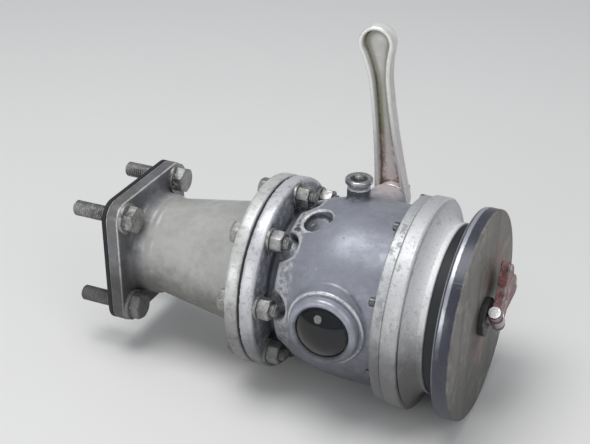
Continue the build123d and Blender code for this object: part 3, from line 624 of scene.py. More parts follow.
@dataclass(frozen=True)
class Effect:
    """A shader node group that is built once and placed in many materials.

    Attributes:
        build: Takes the group's tree, the place and each other input, and gives the outputs by name.
    """

    build: Callable[..., Outputs]

    def group(self, names: Sequence[str]) -> bpy.types.NodeTree:
        """Finds the node group, and builds it at its first use.

        Args:
            names: The names of its inputs beside Place, in small letters.

        Returns:
            The group, with an output for each result of build.
        """
        title, number = self.build.__name__.replace("_", " "), "NodeSocketFloat"
        made = bpy.data.node_groups.get(title)
        if made is None:
            made = bpy.data.node_groups.new(title, "ShaderNodeTree")
            made.interface.new_socket(name="Place", in_out="INPUT", socket_type="NodeSocketVector")
            for name in names:
                made.interface.new_socket(name=name.capitalize(), in_out="INPUT", socket_type=number)
            tree = Tree(made)
            entry = tree.add("NodeGroupInput")
            at, *others = (Value(tree, socket) for socket in entry.outputs if socket.name)
            outputs = self.build(tree, at, **dict(zip(names, others, strict=True)))
            for name in outputs:
                made.interface.new_socket(name=name, in_out="OUTPUT", socket_type=number)
            tree.add("NodeGroupOutput", outputs)
        return made

    def __call__(self, tree: Tree, at: Value, **values: Number) -> Value | list[Value]:
        """Places the effect in a material.

        Args:
            tree: The material's tree.
            at: What the input Place gets.
            values: What each other input gets, by its name in small letters. Every call gives all of them.

        Returns:
            Its output, or a list of them where it has several.
        """
        inputs = {"Place": at} | {name.capitalize(): value for name, value in values.items()}
        node = tree.add("ShaderNodeGroup", inputs, node_tree=self.group(list(values)))
        outputs = [Value(tree, socket) for socket in node.outputs]
        return outputs if len(outputs) > 1 else outputs[0]


@Effect
def blotches(tree: Tree, at: Value, scale: Value) -> Outputs:
    """Soft uneven patches, with finer ones inside them."""
    both = tree.noise(at, scale * 6.3, 5.0, 0.65) * 0.4 + tree.noise(at, scale, 4.0, 0.6, 0.6) * 0.6
    return {"Share": tree.between(both, 0.36, 0.64)}


@Effect
def cast_skin(tree: Tree, at: Value, scale: Value, pits: Value) -> Outputs:
    """The grain, the waves and the few pits of a casting.

    Args:
        tree: The group's tree.
        at: The place.
        scale: How fine the grain is.
        pits: How deep the pits are.

    Returns:
        Height, and Pit where the pits are.
    """
    pit = tree.between(tree.noise(at, scale * 0.55, 1.0, 0.4), 0.27, 0.2) * pits
    height = tree.noise(at, scale, 3.0, 0.6) * 0.45 + tree.noise(at, scale * 0.16, 2.0, 0.5)
    return {"Height": height - pit, "Pit": pit}


@Effect
def worn_edges(tree: Tree, at: Value, edge: Value, scale: Value, amount: Value, ragged: Value) -> Outputs:
    """Where edges have lost their coat: the proud places, broken up by noise.

    Args:
        tree: The group's tree.
        at: The place.
        edge: How proud the place stands, 0.5 on a flat.
        scale: How fine the noise is.
        amount: How far the wear goes.
        ragged: How far the noise breaks it up.

    Returns:
        Mask.
    """
    shifted = (tree.noise(at, scale, 6.0, 0.7) - 0.5) * ragged + edge
    start = 1.0 - amount
    return {"Mask": tree.between(shifted, start, start + 0.09)}


@Effect
def settled_dirt(tree: Tree, at: Value, edge: Value, scale: Value, amount: Value) -> Outputs:
    """Dirt that sits in hollows, where edge is below 0.5, and thins out unevenly round them."""
    depth = (tree.noise(at, scale, 6.0, 0.7, 0.4) - 0.5) * 0.34 + (0.5 - edge)
    return {"Mask": tree.between(depth, 0.24 - amount, 0.3)}


@Effect
def painted_low_shade(tree: Tree, at: Value, top: Value, bottom: Value, amount: Value) -> Outputs:
    """Painted shade that darkens from the height top down to the height bottom, where the lower sides lie in
    shade.
    """
    height = tree.ragged(tree.parts(at)[2], at, 38.0, 60 * MM)
    return {"Mask": tree.between(height, top, bottom) * amount}


@Effect
def turned_marks(tree: Tree, at: Value, scale: Value) -> Outputs:
    """The fine rings that a lathe leaves round X, on rims and on faces alike.

    Args:
        tree: The group's tree.
        at: The place.
        scale: How fine the rings are.

    Returns:
        Height, Tone for the colour, and the place's Radius and x, called Along.
    """
    along, radius = tree.parts(at)[0], tree.from_axis(at)
    line = tree.result(0, "ShaderNodeCombineXYZ", {0: along, 1: radius})
    both = tree.noise(line, scale, 2.0, 0.7) * 0.6 + tree.noise(line, scale * 0.22, 3.0, 0.6) * 0.4
    return {"Height": both, "Tone": tree.between(both, 0.32, 0.68), "Radius": radius, "Along": along}


@Effect
def scuffs(tree: Tree, at: Value, scale: Value, amount: Value) -> Outputs:
    """Thin scratches in two directions, in a few places only.

    Args:
        tree: The group's tree.
        at: The place.
        scale: How fine they are.
        amount: How much they show.

    Returns:
        Mask.
    """
    ways = (((0.3, 0.9, 0.2), (0.05, 1, 1)), ((1.2, 0.1, 0.8), (1, 0.06, 1)))
    lines = [tree.noise(tree.mapped(at, turn=turn, scale=stretch), scale, 1.0, 0.4) for turn, stretch in ways]
    first, second = (tree.between(tree.math("ABSOLUTE", line - 0.5), 0.008, 0.0) for line in lines)
    where = tree.between(tree.noise(at, 45.0), 0.52, 0.68)
    return {"Mask": (first | second) * where * amount}


@Effect
def spots(tree: Tree, at: Value, scale: Value, amount: Value, soft: Value) -> Outputs:
    """Scattered patches with ragged edges, such as chips, oxide or rust."""
    start = 1.0 - amount
    return {"Mask": tree.between(tree.noise(at, scale, 8.0, 0.72, 0.3), start, start + soft)}


@Effect
def bolt_halo(tree: Tree, at: Value, circle: Value, turn: Value) -> Outputs:
    """The distance from the nearest of eight bolts that stand round X.

    Args:
        tree: The group's tree.
        at: The place.
        circle: The radius of the bolts' circle.
        turn: The first bolt's angle from +Y, in radians.

    Returns:
        Distance.
    """
    _, y, z = tree.parts(at)
    angle, pitch = tree.math("ARCTAN2", z, y) - turn, math.pi / 4
    off = angle - tree.math("ROUND", angle * (1 / pitch)) * pitch
    radius = tree.from_axis(at)
    side, out = tree.math("SINE", off) * radius, tree.math("COSINE", off) * radius - circle
    return {"Distance": tree.math("SQRT", side * side + out * out)}


# Finishes

Looks = dict[str, object]


def shaded(color: Color, share: float) -> Color:
    """A colour darkened to this share of itself."""
    return tuple(share * part for part in color)


@dataclass(frozen=True)
class Finish:
    """A finish whose material is built once and shared by the pieces that have it.

    Attributes:
        name: The material's name.
        depth: What a height of 1 measures in its relief.
    """

    name: str
    depth: float = 0.12 * MM

    def material(self) -> bpy.types.Material:
        """Finds the material, and builds it at its first use.

        Returns:
            The material.
        """
        made = bpy.data.materials.get(self.name)
        if made is None:
            made = bpy.data.materials.new(self.name)
            made.use_nodes = True
            made.node_tree.nodes.clear()
            tree = Tree(made.node_tree)
            looks = self.paint(tree, tree.result("Object", "ShaderNodeTexCoord"))
            if "Height" in looks:
                relief = {"Distance": self.depth, "Height": looks.pop("Height")}
                looks["Normal"] = tree.result(0, "ShaderNodeBump", relief)
            shader = tree.result(0, "ShaderNodeBsdfPrincipled", looks)
            tree.add("ShaderNodeOutputMaterial", {"Surface": shader})
        return made

    def paint(self, tree: Tree, at: Value) -> Looks:
        """Adds the finish's nodes.

        Args:
            tree: The material's tree.
            at: The Object coordinates.

        Returns:
            What the shader's inputs get, and the relief's Height where it has one.
        """
        raise NotImplementedError


@dataclass(frozen=True)
class CastFinish(Finish):
    """Cast metal, bare or painted, worn on its edges, dirty in its hollows and darkened below by painted
    shade.

    Attributes:
        low_top: The height where the painted shade below starts.
        low_end: The height where it is thickest, by the share low.
        shine: How metallic the worn places are.
        mottle: How dark the worn colour's dark spots are, as a share of it.
        rim: The x of a round flange's two faces, where the piece has one with a bare rim.
    """

    light: Color = (0.5, 0.5, 0.5)
    dark: Color = (0.4, 0.4, 0.4)
    worn: Color = (0.6, 0.6, 0.6)
    dirt: Color = (0.02, 0.018, 0.015)
    metallic: float = 0.4
    rough: float = 0.45
    coat: float = 0.0
    wear: float = 0.3
    grime: float = 0.1
    low: float = 0.5
    low_top: float = 0.0
    low_end: float = -60 * MM
    shine: float = 0.85
    mottle: float = 0.6
    pits: float = 0.3
    grain: float = 700.0
    depth: float = 0.2 * MM
    rim: tuple[float, float] | None = None

    def ground(self, tree: Tree, at: Value, patches: Value) -> Value:
        """The coat's own colour, before wear and dirt."""
        return tree.mix(patches, self.dark, self.light)

    def edge_wear(self, tree: Tree, at: Value) -> Number:
        """How far the edges are worn."""
        return self.wear

    def paint(self, tree: Tree, at: Value) -> Looks:
        """Adds the finish's nodes.

        Args:
            tree: The material's tree.
            at: The Object coordinates.

        Returns:
            What the shader's inputs get, and the relief's Height.
        """
        patches = blotches(tree, at, scale=26.0)
        height, pit = cast_skin(tree, at, scale=self.grain, pits=self.pits)
        wear = self.edge_wear(tree, at)
        worn = worn_edges(tree, at, edge=tree.stored("proud"), scale=170.0, amount=wear, ragged=0.35)
        worn |= scuffs(tree, at, scale=110.0, amount=0.3)
        dirt = settled_dirt(tree, at, edge=tree.stored("broad"), scale=55.0, amount=self.grime)
        # The dirt mask also takes the painted shade below, which is laid on in the dirt colour.
        dirt |= painted_low_shade(tree, at, top=self.low_top, bottom=self.low_end, amount=self.low)
        if self.rim is not None:
            bare, stained = self.flange_masks(tree, at)
            worn |= bare
            dirt |= stained
        mottled = spots(tree, at, scale=230.0, amount=0.52, soft=0.2)
        bright = tree.mix(mottled, self.worn, shaded(self.worn, self.mottle))
        # The last coat is dirt in the hollows, stains at the flange bolts and the painted shade below.
        coats = (pit, self.dirt), (worn, bright), (dirt * 0.85, self.dirt)
        looks = {
            "Base Color": tree.layered(self.ground(tree, at, patches), *coats),
            "Roughness": dirt * 0.3 + tree.between(patches, 0.0, 1.0, self.rough + 0.08, self.rough - 0.05),
            "Metallic": (worn * self.shine | self.metallic) * (1.0 - dirt),
            "Height": height - worn * 0.25,
        }
        if self.coat > 0:
            looks |= {"Coat Weight": tree.between(dirt, 0.0, 0.6, self.coat, 0.0), "Coat Roughness": 0.2}
        return looks

    def flange_masks(self, tree: Tree, at: Value) -> tuple[Value, Value]:
        """Finds the bare rim of a round flange and the stains at its bolts.

        Args:
            tree: The material's tree.
            at: The Object coordinates.

        Returns:
            The rim's mask and the stains' mask.
        """
        first, last = self.rim
        _, _, radius, along = turned_marks(tree, at, scale=1500.0)
        inside = tree.between(along, first - 0.5 * MM, first) * tree.between(along, last + 0.5 * MM, last)
        out = tree.ragged(radius, at, 150.0, 5 * MM)
        bare = tree.between(out, FLANGE_RIM_R - 2.2 * MM, FLANGE_RIM_R - 1.2 * MM) * inside
        halo = bolt_halo(tree, at, circle=FLANGE_CIRCLE, turn=math.radians(FLANGE_TURN))
        stained = tree.between(tree.ragged(halo, at, 120.0, 9 * MM), 13 * MM, 8 * MM) * inside
        return bare, stained * (0.75 - bare * 0.75)


@dataclass(frozen=True)
class SpoolFinish(CastFinish):
    """The spool's grey gloss paint: darker on the square flange, partly from stains and partly painted shade,
    and rusty by the round one.

    Attributes:
        plate_end: The x where the square flange ends.
        bolt: How far the tank bolts stand from the axis, each way.
        rusty: Between which x the rust thickens.
    """

    # The square flange's darker colours are partly stains and partly painted shade.
    plate: Color = (0.17, 0.172, 0.185)
    plate_dark: Color = (0.105, 0.105, 0.115)
    rust: Color = (0.14, 0.1, 0.075)
    plate_end: float = 13 * MM
    bolt: float = 37 * MM
    rusty: tuple[float, float] = (90 * MM, 112 * MM)

    def ground(self, tree: Tree, at: Value, patches: Value) -> Value:
        """Mixes the paint's colour along the spool, with its rust.

        Args:
            tree: The material's tree.
            at: The Object coordinates.
            patches: Soft patches.

        Returns:
            The colour before wear and dirt.
        """
        x = tree.ragged(tree.parts(at)[0], at, 45.0, 16 * MM)
        cone = tree.between(x, self.plate_end + 2 * MM, self.plate_end + 19 * MM)
        # The square flange's colour holds stains and painted shade together.
        plate = tree.mix(patches, self.plate_dark, self.plate)
        bolt = tree.vector("DISTANCE", tree.vector("ABSOLUTE", at), (self.plate_end, self.bolt, self.bolt))
        smudge = tree.between(tree.ragged(bolt, at, 90.0, 14 * MM), 20 * MM, 10 * MM) * 0.45
        specks = spots(tree, at, scale=75.0, amount=0.44, soft=0.08) * tree.between(x, *self.rusty) * 0.6
        return tree.layered(plate, (cone, super().ground(tree, at, patches)), (smudge | specks, self.rust))


@dataclass(frozen=True)
class BodyFinish(CastFinish):
    """The body's blue-grey skin, darker at the neck, with a pale crust by the lever's root.

    Attributes:
        neck_end: The x where the neck ends.
        port: Where the blind port is.
        plug: Where the top plug is.
        root: Where the lever's root is.
    """

    neck: Color = (0.15, 0.155, 0.185)
    crust: Color = (0.6, 0.52, 0.52)
    neck_end: float = 152 * MM
    port: Point = (0.149, -0.0174, 0.0553)
    plug: Point = (0.175, 0.017, 0.07)
    root: Point = (0.186, 0.056, 0.067)

    def edge_wear(self, tree: Tree, at: Value) -> Number:
        """The neck's edges are worn further than the rest."""
        x, past = tree.parts(at)[0], self.neck_end + 12 * MM
        return tree.between(x, past, self.neck_end, self.wear, self.wear + 0.26)

    def ground(self, tree: Tree, at: Value, patches: Value) -> Value:
        """Mixes the skin's colour along the body, with painted shade round the blind port and the plug.

        Args:
            tree: The material's tree.
            at: The Object coordinates.
            patches: Soft patches.

        Returns:
            The colour before wear and dirt.
        """
        x = tree.ragged(tree.parts(at)[0], at, 50.0, 14 * MM)
        neck = tree.between(x, self.neck_end + 6 * MM, self.neck_end - 8 * MM) * 0.36
        # Painted shade: the blind port's recess and the plug's neck are darkened with the dirt colour.
        port, plug = tree.near(at, self.port, 14 * MM) * 0.85, tree.near(at, self.plug, 15 * MM) * 0.8
        crust = tree.near(at, self.root, 25 * MM) * spots(tree, at, scale=170.0, amount=0.68, soft=0.1)
        coats = (neck, self.neck), (port, self.dirt), (plug, self.dirt), (crust, self.crust)
        return tree.layered(super().ground(tree, at, patches), *coats)


@dataclass(frozen=True)
class LeverFinish(CastFinish):
    """The lever's cream coat: its channel olive with brown runs, pink lower down, and crusted at the root.

    Attributes:
        root: Where the lever's root is.
        lean: How far the lever leans from upright, in degrees about Y.
    """

    inside: Color = (0.4, 0.385, 0.345)
    run: Color = (0.34, 0.335, 0.22)
    pink: Color = (0.34, 0.235, 0.215)
    crust: Color = (0.74, 0.64, 0.63)
    root: Point = (0.186, 0.064, 0.066)
    lean: float = -7.6

    def ground(self, tree: Tree, at: Value, patches: Value) -> Value:
        """Mixes the coat's colour up the lever, whose lean turns the runs with it.

        Args:
            tree: The material's tree.
            at: The Object coordinates.
            patches: Soft patches.

        Returns:
            The colour before wear and dirt.
        """
        z = tree.parts(at)[2]
        along = tree.mapped(at, turn=(0, math.radians(self.lean), 0), scale=(1, 1, 0.1))
        runs = tree.between(tree.noise(along, 230.0, 4.0, 0.6), 0.48, 0.62)
        runs *= tree.between(tree.ragged(z, at, 60.0, 40 * MM), 150 * MM, 120 * MM, 0.35, 0.9)
        low = tree.between(tree.ragged(z, at, 60.0, 30 * MM), 106 * MM, 84 * MM) * 0.75
        olive = tree.layered(self.inside, (runs, self.run), (low, self.pink))
        channel = tree.between(tree.stored("inside"), 0.5, 0.38)
        crust = tree.near(at, self.root, 32 * MM) * spots(tree, at, scale=170.0, amount=0.56, soft=0.12)
        return tree.layered(super().ground(tree, at, patches), (channel, olive), (crust, self.crust))


@dataclass(frozen=True)
class TurnedFinish(Finish):
    """Bare metal turned on a lathe, dulled in patches, darkened below by painted shade, and painted pale past
    a given x as painted light.

    Attributes:
        dulled: How much of it is dull.
        low: How dark the painted shade below is.
        painted_light_from: The x past which the metal is painted pale and dull, as painted light so that the
            taper reads as lit.
    """

    light: Color = (0.78, 0.78, 0.78)
    dark: Color = (0.5, 0.5, 0.5)
    oxide: Color = (0.3, 0.295, 0.285)
    white: Color = (0.88, 0.88, 0.885)
    # The dirt colour paints only the shade below.
    dirt: Color = (0.095, 0.093, 0.095)
    metallic: float = 0.75
    rough: float = 0.4
    dulled: float = 0.4
    low: float = 0.85
    depth: float = 0.04 * MM
    painted_light_from: float = 1.0

    def paint(self, tree: Tree, at: Value) -> Looks:
        """Adds the finish's nodes.

        Args:
            tree: The material's tree.
            at: The Object coordinates.

        Returns:
            What the shader's inputs get, and the relief's Height.
        """
        height, tone, _, along = turned_marks(tree, at, scale=1300.0)
        # Painted light: past painted_light_from the metal is painted pale and dull so that it reads as
        # brightly lit.
        pale = tree.between(along, self.painted_light_from, self.painted_light_from + MM, 0.0, 0.8)
        patches = blotches(tree, at, scale=34.0)
        dull = spots(tree, at, scale=150.0, amount=self.dulled, soft=0.14)
        dull |= spots(tree, at, scale=600.0, amount=0.45, soft=0.08) * 0.8
        # grime is painted shade below, in the dirt colour.
        grime = painted_low_shade(tree, at, top=42 * MM, bottom=-24 * MM, amount=self.low)
        coats = (tone * 0.4, self.dark), (patches * 0.3, self.dark), (pale, self.white)
        return {
            "Base Color": tree.layered(self.light, *coats, (dull * 0.5, self.oxide), (grime, self.dirt)),
            "Metallic": tree.math("SUBTRACT", self.metallic, (grime | pale) * 0.7, clamp=True),
            "Roughness": (dull | grime) * 0.25 + (patches * 0.1 + self.rough),
            "Height": height,
        }


@dataclass(frozen=True)
class SteelFinish(Finish):
    """Zinc-plated steel with white oxide and a little rust, darkened below by painted shade."""

    metal: Color = (0.45, 0.45, 0.44)
    white: Color = (0.5, 0.5, 0.49)
    brown: Color = (0.13, 0.062, 0.03)
    # The dirt colour paints only the shade below.
    dirt: Color = (0.045, 0.042, 0.04)
    oxide: float = 0.5
    rust: float = 0.38
    rough: float = 0.42
    low: float = 0.6
    depth: float = 0.02 * MM

    def paint(self, tree: Tree, at: Value) -> Looks:
        """Adds the finish's nodes.

        Args:
            tree: The material's tree.
            at: The Object coordinates.

        Returns:
            What the shader's inputs get, and the relief's Height.
        """
        oxide = spots(tree, at, scale=300.0, amount=self.oxide, soft=0.14)
        elsewhere = tree.mapped(at, shift=(0.31, 0.17, 0.05))
        rust = spots(tree, elsewhere, scale=200.0, amount=self.rust, soft=0.06)
        # grime is painted shade below, in the dirt colour.
        grime = painted_low_shade(tree, at, top=30 * MM, bottom=-50 * MM, amount=self.low)
        metal = tree.mix(blotches(tree, at, scale=110.0), shaded(self.metal, 0.5), self.metal)
        covered = oxide * 0.6 | rust | grime
        coats = (oxide * 0.6, self.white), (rust * 0.8, self.brown), (grime, self.dirt)
        return {
            "Base Color": tree.layered(metal, *coats),
            "Metallic": tree.math("SUBTRACT", 0.95, covered, clamp=True),
            "Roughness": covered * 0.3 + self.rough,
            "Height": tree.noise(at, 1500.0, 3.0, 0.6) * 0.5 + oxide,
        }


@dataclass(frozen=True)
class RubberFinish(Finish):
    """Black rubber or sheet gasket with dust on it."""

    black: Color = (0.016, 0.017, 0.02)
    dust: Color = (0.1, 0.1, 0.1)
    rough: float = 0.6
    depth: float = 0.08 * MM

    def paint(self, tree: Tree, at: Value) -> Looks:
        """Adds the finish's nodes.

        Args:
            tree: The material's tree.
            at: The Object coordinates.

        Returns:
            What the shader's inputs get, and the relief's Height.
        """
        dust = spots(tree, at, scale=130.0, amount=0.45, soft=0.25)
        return {
            "Base Color": tree.mix(dust * 0.6, self.black, self.dust),
            "Roughness": tree.between(dust, 0.0, 1.0, self.rough, 0.9),
            "Height": tree.noise(at, 900.0, 4.0, 0.6),
        }


@dataclass(frozen=True)
class CoverFinish(Finish):
    """The cover's dark enamel: a navy rim, worn bare at its back edge and with a painted highlight there, and
    a face that is stained and dusty and darkened below by painted shade.

    Attributes:
        face_x: The x of the cover's face.
        back_x: The x of its back.
    """

    rim: Color = (0.05, 0.053, 0.075)
    # The bare colour is used for the worn back edge, the scuffs and the painted highlight.
    bare: Color = (0.52, 0.53, 0.58)
    # The face's darker lower colour is painted shade.
    upper: Color = (0.235, 0.222, 0.208)
    lower: Color = (0.12, 0.118, 0.113)
    stain: Color = (0.075, 0.068, 0.062)
    dust: Color = (0.31, 0.3, 0.26)
    red: Color = (0.25, 0.12, 0.11)
    face_x: float = 276.4 * MM
    back_x: float = 263 * MM

    def face_color(self, tree: Tree, at: Value, patches: Value) -> Value:
        """The face: paler above and darker below as painted shade, with runs, red smears by the grip and a
        dark stain beside the hub.

        Args:
            tree: The material's tree.
            at: The Object coordinates.
            patches: Soft patches.

        Returns:
            Its colour.
        """
        height = tree.ragged(tree.parts(at)[2], at, 30.0, 60 * MM)
        runs = tree.between(tree.noise(tree.mapped(at, scale=(1, 1, 0.1)), 105.0, 5.0, 0.65), 0.48, 0.66)
        return tree.layered(
            self.upper,
            # Painted shade: the face darkens towards the bottom.
            (tree.between(height, 20 * MM, -35 * MM), self.lower),
            (patches * 0.45, self.stain),
            (runs * 0.55, self.stain),
            (spots(tree, at, scale=42.0, amount=0.5, soft=0.14) * 0.6, self.dust),
            (tree.near(at, (self.face_x, 24 * MM, 26 * MM), 24 * MM) * 0.5, self.red),
            (tree.near(at, (self.face_x, 2 * MM, -24 * MM), 19 * MM) * 0.36, self.red),
            (tree.near(at, (self.face_x, -13 * MM, -2 * MM), 23 * MM) * 0.9, self.stain),
        )

    def paint(self, tree: Tree, at: Value) -> Looks:
        """Adds the finish's nodes.

        Args:
            tree: The material's tree.
            at: The Object coordinates.

        Returns:
            What the shader's inputs get, and the relief's Height.
        """
        x, _, z = tree.parts(at)
        patches = blotches(tree, at, scale=24.0)
        edge, start, end = tree.ragged(x, at, 160.0, 1.2 * MM), self.back_x + 1.8 * MM, self.back_x + 4.4 * MM
        # A painted highlight: a bright band just behind the back edge, on the upper part only.
        painted_highlight = tree.between(edge, start, start + MM) * tree.between(edge, end + MM, end)
        painted_highlight *= tree.between(tree.ragged(z, at, 50.0, 20 * MM), 5 * MM, 40 * MM)
        worn = tree.between(edge, self.back_x + 1.6 * MM, self.back_x + 0.8 * MM, 0.0, 0.6)
        # bare holds the painted highlight as well as the worn back edge and the scuffs.
        bare = (painted_highlight | worn) * 0.85 | scuffs(tree, at, scale=90.0, amount=0.2)
        front = tree.ragged(x, at, 60.0, 3 * MM)
        on_face = tree.between(front, self.face_x - 2.4 * MM, self.face_x - 0.8 * MM)
        rim = tree.mix(patches * 0.5, self.rim, shaded(self.rim, 0.5))
        return {
            "Base Color": tree.layered(rim, (on_face, self.face_color(tree, at, patches)), (bare, self.bare)),
            "Roughness": tree.between(on_face, 0.0, 1.0, 0.34, 0.6) - patches * 0.08,
            "Metallic": bare * 0.5 + 0.1,
            "Height": cast_skin(tree, at, scale=500.0, pits=0.2)[0],
        }


@dataclass(frozen=True)
class ChippedFinish(Finish):
    """Old enamel over metal that is chipped off its edges."""

    enamel: Color = (0.23, 0.065, 0.068)
    faded: Color = (0.42, 0.22, 0.215)
    metal: Color = (0.6, 0.55, 0.56)
    dirt: Color = (0.045, 0.034, 0.03)

    def paint(self, tree: Tree, at: Value) -> Looks:
        """Adds the finish's nodes.

        Args:
            tree: The material's tree.
            at: The Object coordinates.

        Returns:
            What the shader's inputs get, and the relief's Height.
        """
        patches = blotches(tree, at, scale=110.0)
        bare = worn_edges(tree, at, edge=tree.stored("proud"), scale=120.0, amount=0.42, ragged=0.5)
        bare |= spots(tree, at, scale=95.0, amount=0.45, soft=0.03)
        dirt = spots(tree, tree.mapped(at, shift=(0.2, 0.4, 0.1)), scale=120.0, amount=0.54, soft=0.15) * 0.8
        enamel, metal = tree.mix(patches, self.enamel, self.faded), tree.mix(patches, self.dirt, self.metal)
        return {
            "Base Color": tree.layered(enamel, (dirt, self.dirt), (bare, metal)),
            "Metallic": bare * 0.8,
            "Roughness": tree.between(bare, 0.0, 1.0, 0.45, 0.32),
            "Height": 1.0 - bare,
        }


@dataclass(frozen=True)
class GlassFinish(Finish):
    """Thick smoked glass, dusty at its foot."""

    tint: Color = (0.09, 0.1, 0.125)
    dust: Color = (0.2, 0.2, 0.21)
    foot_y: float = -74.5 * MM

    def paint(self, tree: Tree, at: Value) -> Looks:
        """Adds the finish's nodes.

        Args:
            tree: The material's tree.
            at: The Object coordinates.

        Returns:
            What the shader's inputs get.
        """
        foot = tree.between(tree.parts(at)[1], self.foot_y, self.foot_y + 1.5 * MM)
        dust = spots(tree, at, scale=300.0, amount=0.4, soft=0.1) * 0.2 + foot * 0.4
        return {
            "Base Color": tree.mix(dust, self.tint, self.dust),
            "Roughness": tree.between(foot, 0.0, 1.0, 0.03, 0.35),
            "IOR": 1.5,
            "Transmission Weight": 1.0,
        }


SPOOL_PAINT = SpoolFinish(
    "grey gloss paint", light=(0.47, 0.472, 0.45), dark=(0.37, 0.37, 0.352), worn=(0.62, 0.62, 0.61),
    dirt=(0.055, 0.05, 0.048), metallic=0.0, rough=0.36, coat=0.3, wear=0.28, grime=0.12, low=0.82,
    low_top=18 * MM, low_end=-24 * MM, shine=0.2, pits=0.0, grain=380.0, depth=0.14 * MM,
    rim=(110 * MM, 120 * MM),
)
BODY_SKIN = BodyFinish(
    "blue grey cast skin", light=(0.31, 0.322, 0.372), dark=(0.235, 0.245, 0.29), worn=(0.64, 0.645, 0.67),
    dirt=(0.03, 0.03, 0.037), metallic=0.25, rough=0.38, wear=0.26, grime=0.08, low=0.92,
    low_top=24 * MM, low_end=-46 * MM, shine=0.3, grain=620.0, depth=0.16 * MM, rim=(122 * MM, 132 * MM),
)
BEZEL_SKIN = CastFinish(
    "bezel skin", light=(0.45, 0.465, 0.53), dark=(0.31, 0.32, 0.37), worn=(0.6, 0.62, 0.67),
    dirt=(0.025, 0.025, 0.03), rough=0.32, wear=0.2, low=0.9, low_top=27 * MM, low_end=-16 * MM,
    grain=900.0, depth=0.06 * MM,
)
LEVER_SKIN = LeverFinish(
    "olive lever skin", light=(0.84, 0.835, 0.81), dark=(0.66, 0.65, 0.61), worn=(0.9, 0.9, 0.89),
    dirt=(0.13, 0.12, 0.09), metallic=0.1, rough=0.42, wear=0.46, low=0.0, mottle=0.9, pits=0.1,
    grain=520.0, depth=0.12 * MM,
)
HUB_SKIN = CastFinish(
    "dark hub skin", light=(0.075, 0.073, 0.075), dark=(0.035, 0.034, 0.036), worn=(0.3, 0.3, 0.3),
    metallic=0.3, wear=0.2,
)
GASKET = RubberFinish("sheet gasket", black=(0.018, 0.018, 0.02), rough=0.75)
RUBBER = RubberFinish("black rubber")
CLAMP_METAL = TurnedFinish(
    "ground ring metal", light=(0.62, 0.63, 0.65), dark=(0.46, 0.465, 0.47), rough=0.52, dulled=0.52
)
NOSE_METAL = TurnedFinish(
    "turned nose metal", light=(0.7, 0.71, 0.72), dark=(0.54, 0.54, 0.54), rough=0.56, dulled=0.46,
    painted_light_from=238 * MM,
)
INNER_METAL = TurnedFinish("inner turned metal", light=(0.6, 0.6, 0.6), dark=(0.4, 0.4, 0.4), low=0.2)
STEEL = SteelFinish("plated steel")
DARK_STEEL = SteelFinish("dark plated steel", metal=(0.2, 0.2, 0.21), oxide=0.42)
BRIGHT_STEEL = SteelFinish(
    "bright steel", metal=(0.62, 0.62, 0.62), oxide=0.4, rust=0.33, rough=0.28, low=0.2
)
COVER_ENAMEL = CoverFinish("cover enamel")
RED_ENAMEL = ChippedFinish("chipped red enamel")
SIGHT_GLASS = GlassFinish("sight glass")


def dress_node(node: str, finish: Finish) -> None:
    """Gives a CAD node that stays in view its material.

    Args:
        node: The CAD node.
        finish: Its finish.
    """
    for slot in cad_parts[node].material_slots:
        slot.material = finish.material()
    log.info("%s keeps its solid", node)


def settle(piece: Object, body: Body, finish: Finish, slot: Slot, *nodes: str) -> None:
    """Gives a new piece its material and its body, and hides the CAD nodes that it replaces.

    Args:
        piece: The new piece, in place.
        body: The body that it rides on.
        finish: Its finish.
        slot: Not used.
        nodes: The CAD nodes that it replaces.
    """
    piece.data.materials.clear()
    piece.data.materials.append(finish.material())
    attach(piece, body.value)
    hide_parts(*nodes)
    log.info("%s has %d faces", piece.name, len(piece.data.polygons))


# Sub-assemblies


def middle(node: str) -> Vector:
    """The middle of a CAD node's box."""
    low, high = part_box(node)
    return (low + high) / 2


def on_circle(radius: float, first: float, x: float = 0.0, count: int = 8) -> list[Vector]:
    """Places on a circle about X.

    Args:
        radius: The circle's radius.
        first: The first place's angle from +Y, in degrees.
        x: Where the circle is.
        count: How many places it has.

    Returns:
        The places.
    """
    angles = [math.radians(first + 360 / count * step) for step in range(count)]
    return [Vector((x, radius * math.cos(a), radius * math.sin(a))) for a in angles]


@dataclass(frozen=True)
class Fasteners:
    """The places of equal bolts, washers, nuts or screws.

    Attributes:
        places: Where each one stands.
        turns: How far each is turned about its own axis, in degrees.
    """

    places: list[Vector]
    turns: list[float]

    def fill(self, model: Object, way: Along, finish: Finish, node: str) -> None:
        """Puts a copy of a model at each place and removes the model.

        Args:
            model: The piece along +X at the origin.
            way: Where its +X goes.
            finish: Its finish.
            node: The CAD node that the copies replace.
        """
        smooth(model)
        name = model.name
        model.name = name + "_model"
        for number, (at, turn) in enumerate(zip(self.places, self.turns, strict=True), 1):
            piece = place(copy_mesh(model, f"{name}_{number}"), way, at, turn)
            settle(piece, Body.VALVE, finish, Slot.STEEL, node)
        bpy.data.objects.remove(model)


@dataclass(frozen=True)
class HexBolt:
    """The sizes of a hexagon bolt.

    Attributes:
        across: The head's size across the flats.
        head: The head's thickness.
        radius: The shank's radius.
        pitch: The thread's pitch.
    """

    across: float
    head: float
    radius: float
    pitch: float

    def model(self, name: str, start: float, plain: float, tip: float) -> Object:
        """Models the bolt along +X, with its head's crown at the start.

        Args:
            name: The object's name.
            start: Where the head starts.
            plain: Where the thread starts.
            tip: Where it ends.

        Returns:
            The new object.
        """
        seat = start + self.head
        top = crowned_hexagon(name, self.across, -seat, -start)
        place(top, Along.INBOARD, Vector())
        soften_edges(top, 0.25 * MM)
        foot, end = seat - 0.5 * MM, plain + 0.2 * MM
        shank = turned("shank", [(foot, 0), (foot, self.radius), (end, self.radius), (end, 0)], 32)
        return join(top, shank, thread("thread", self.radius, self.pitch, plain, tip))


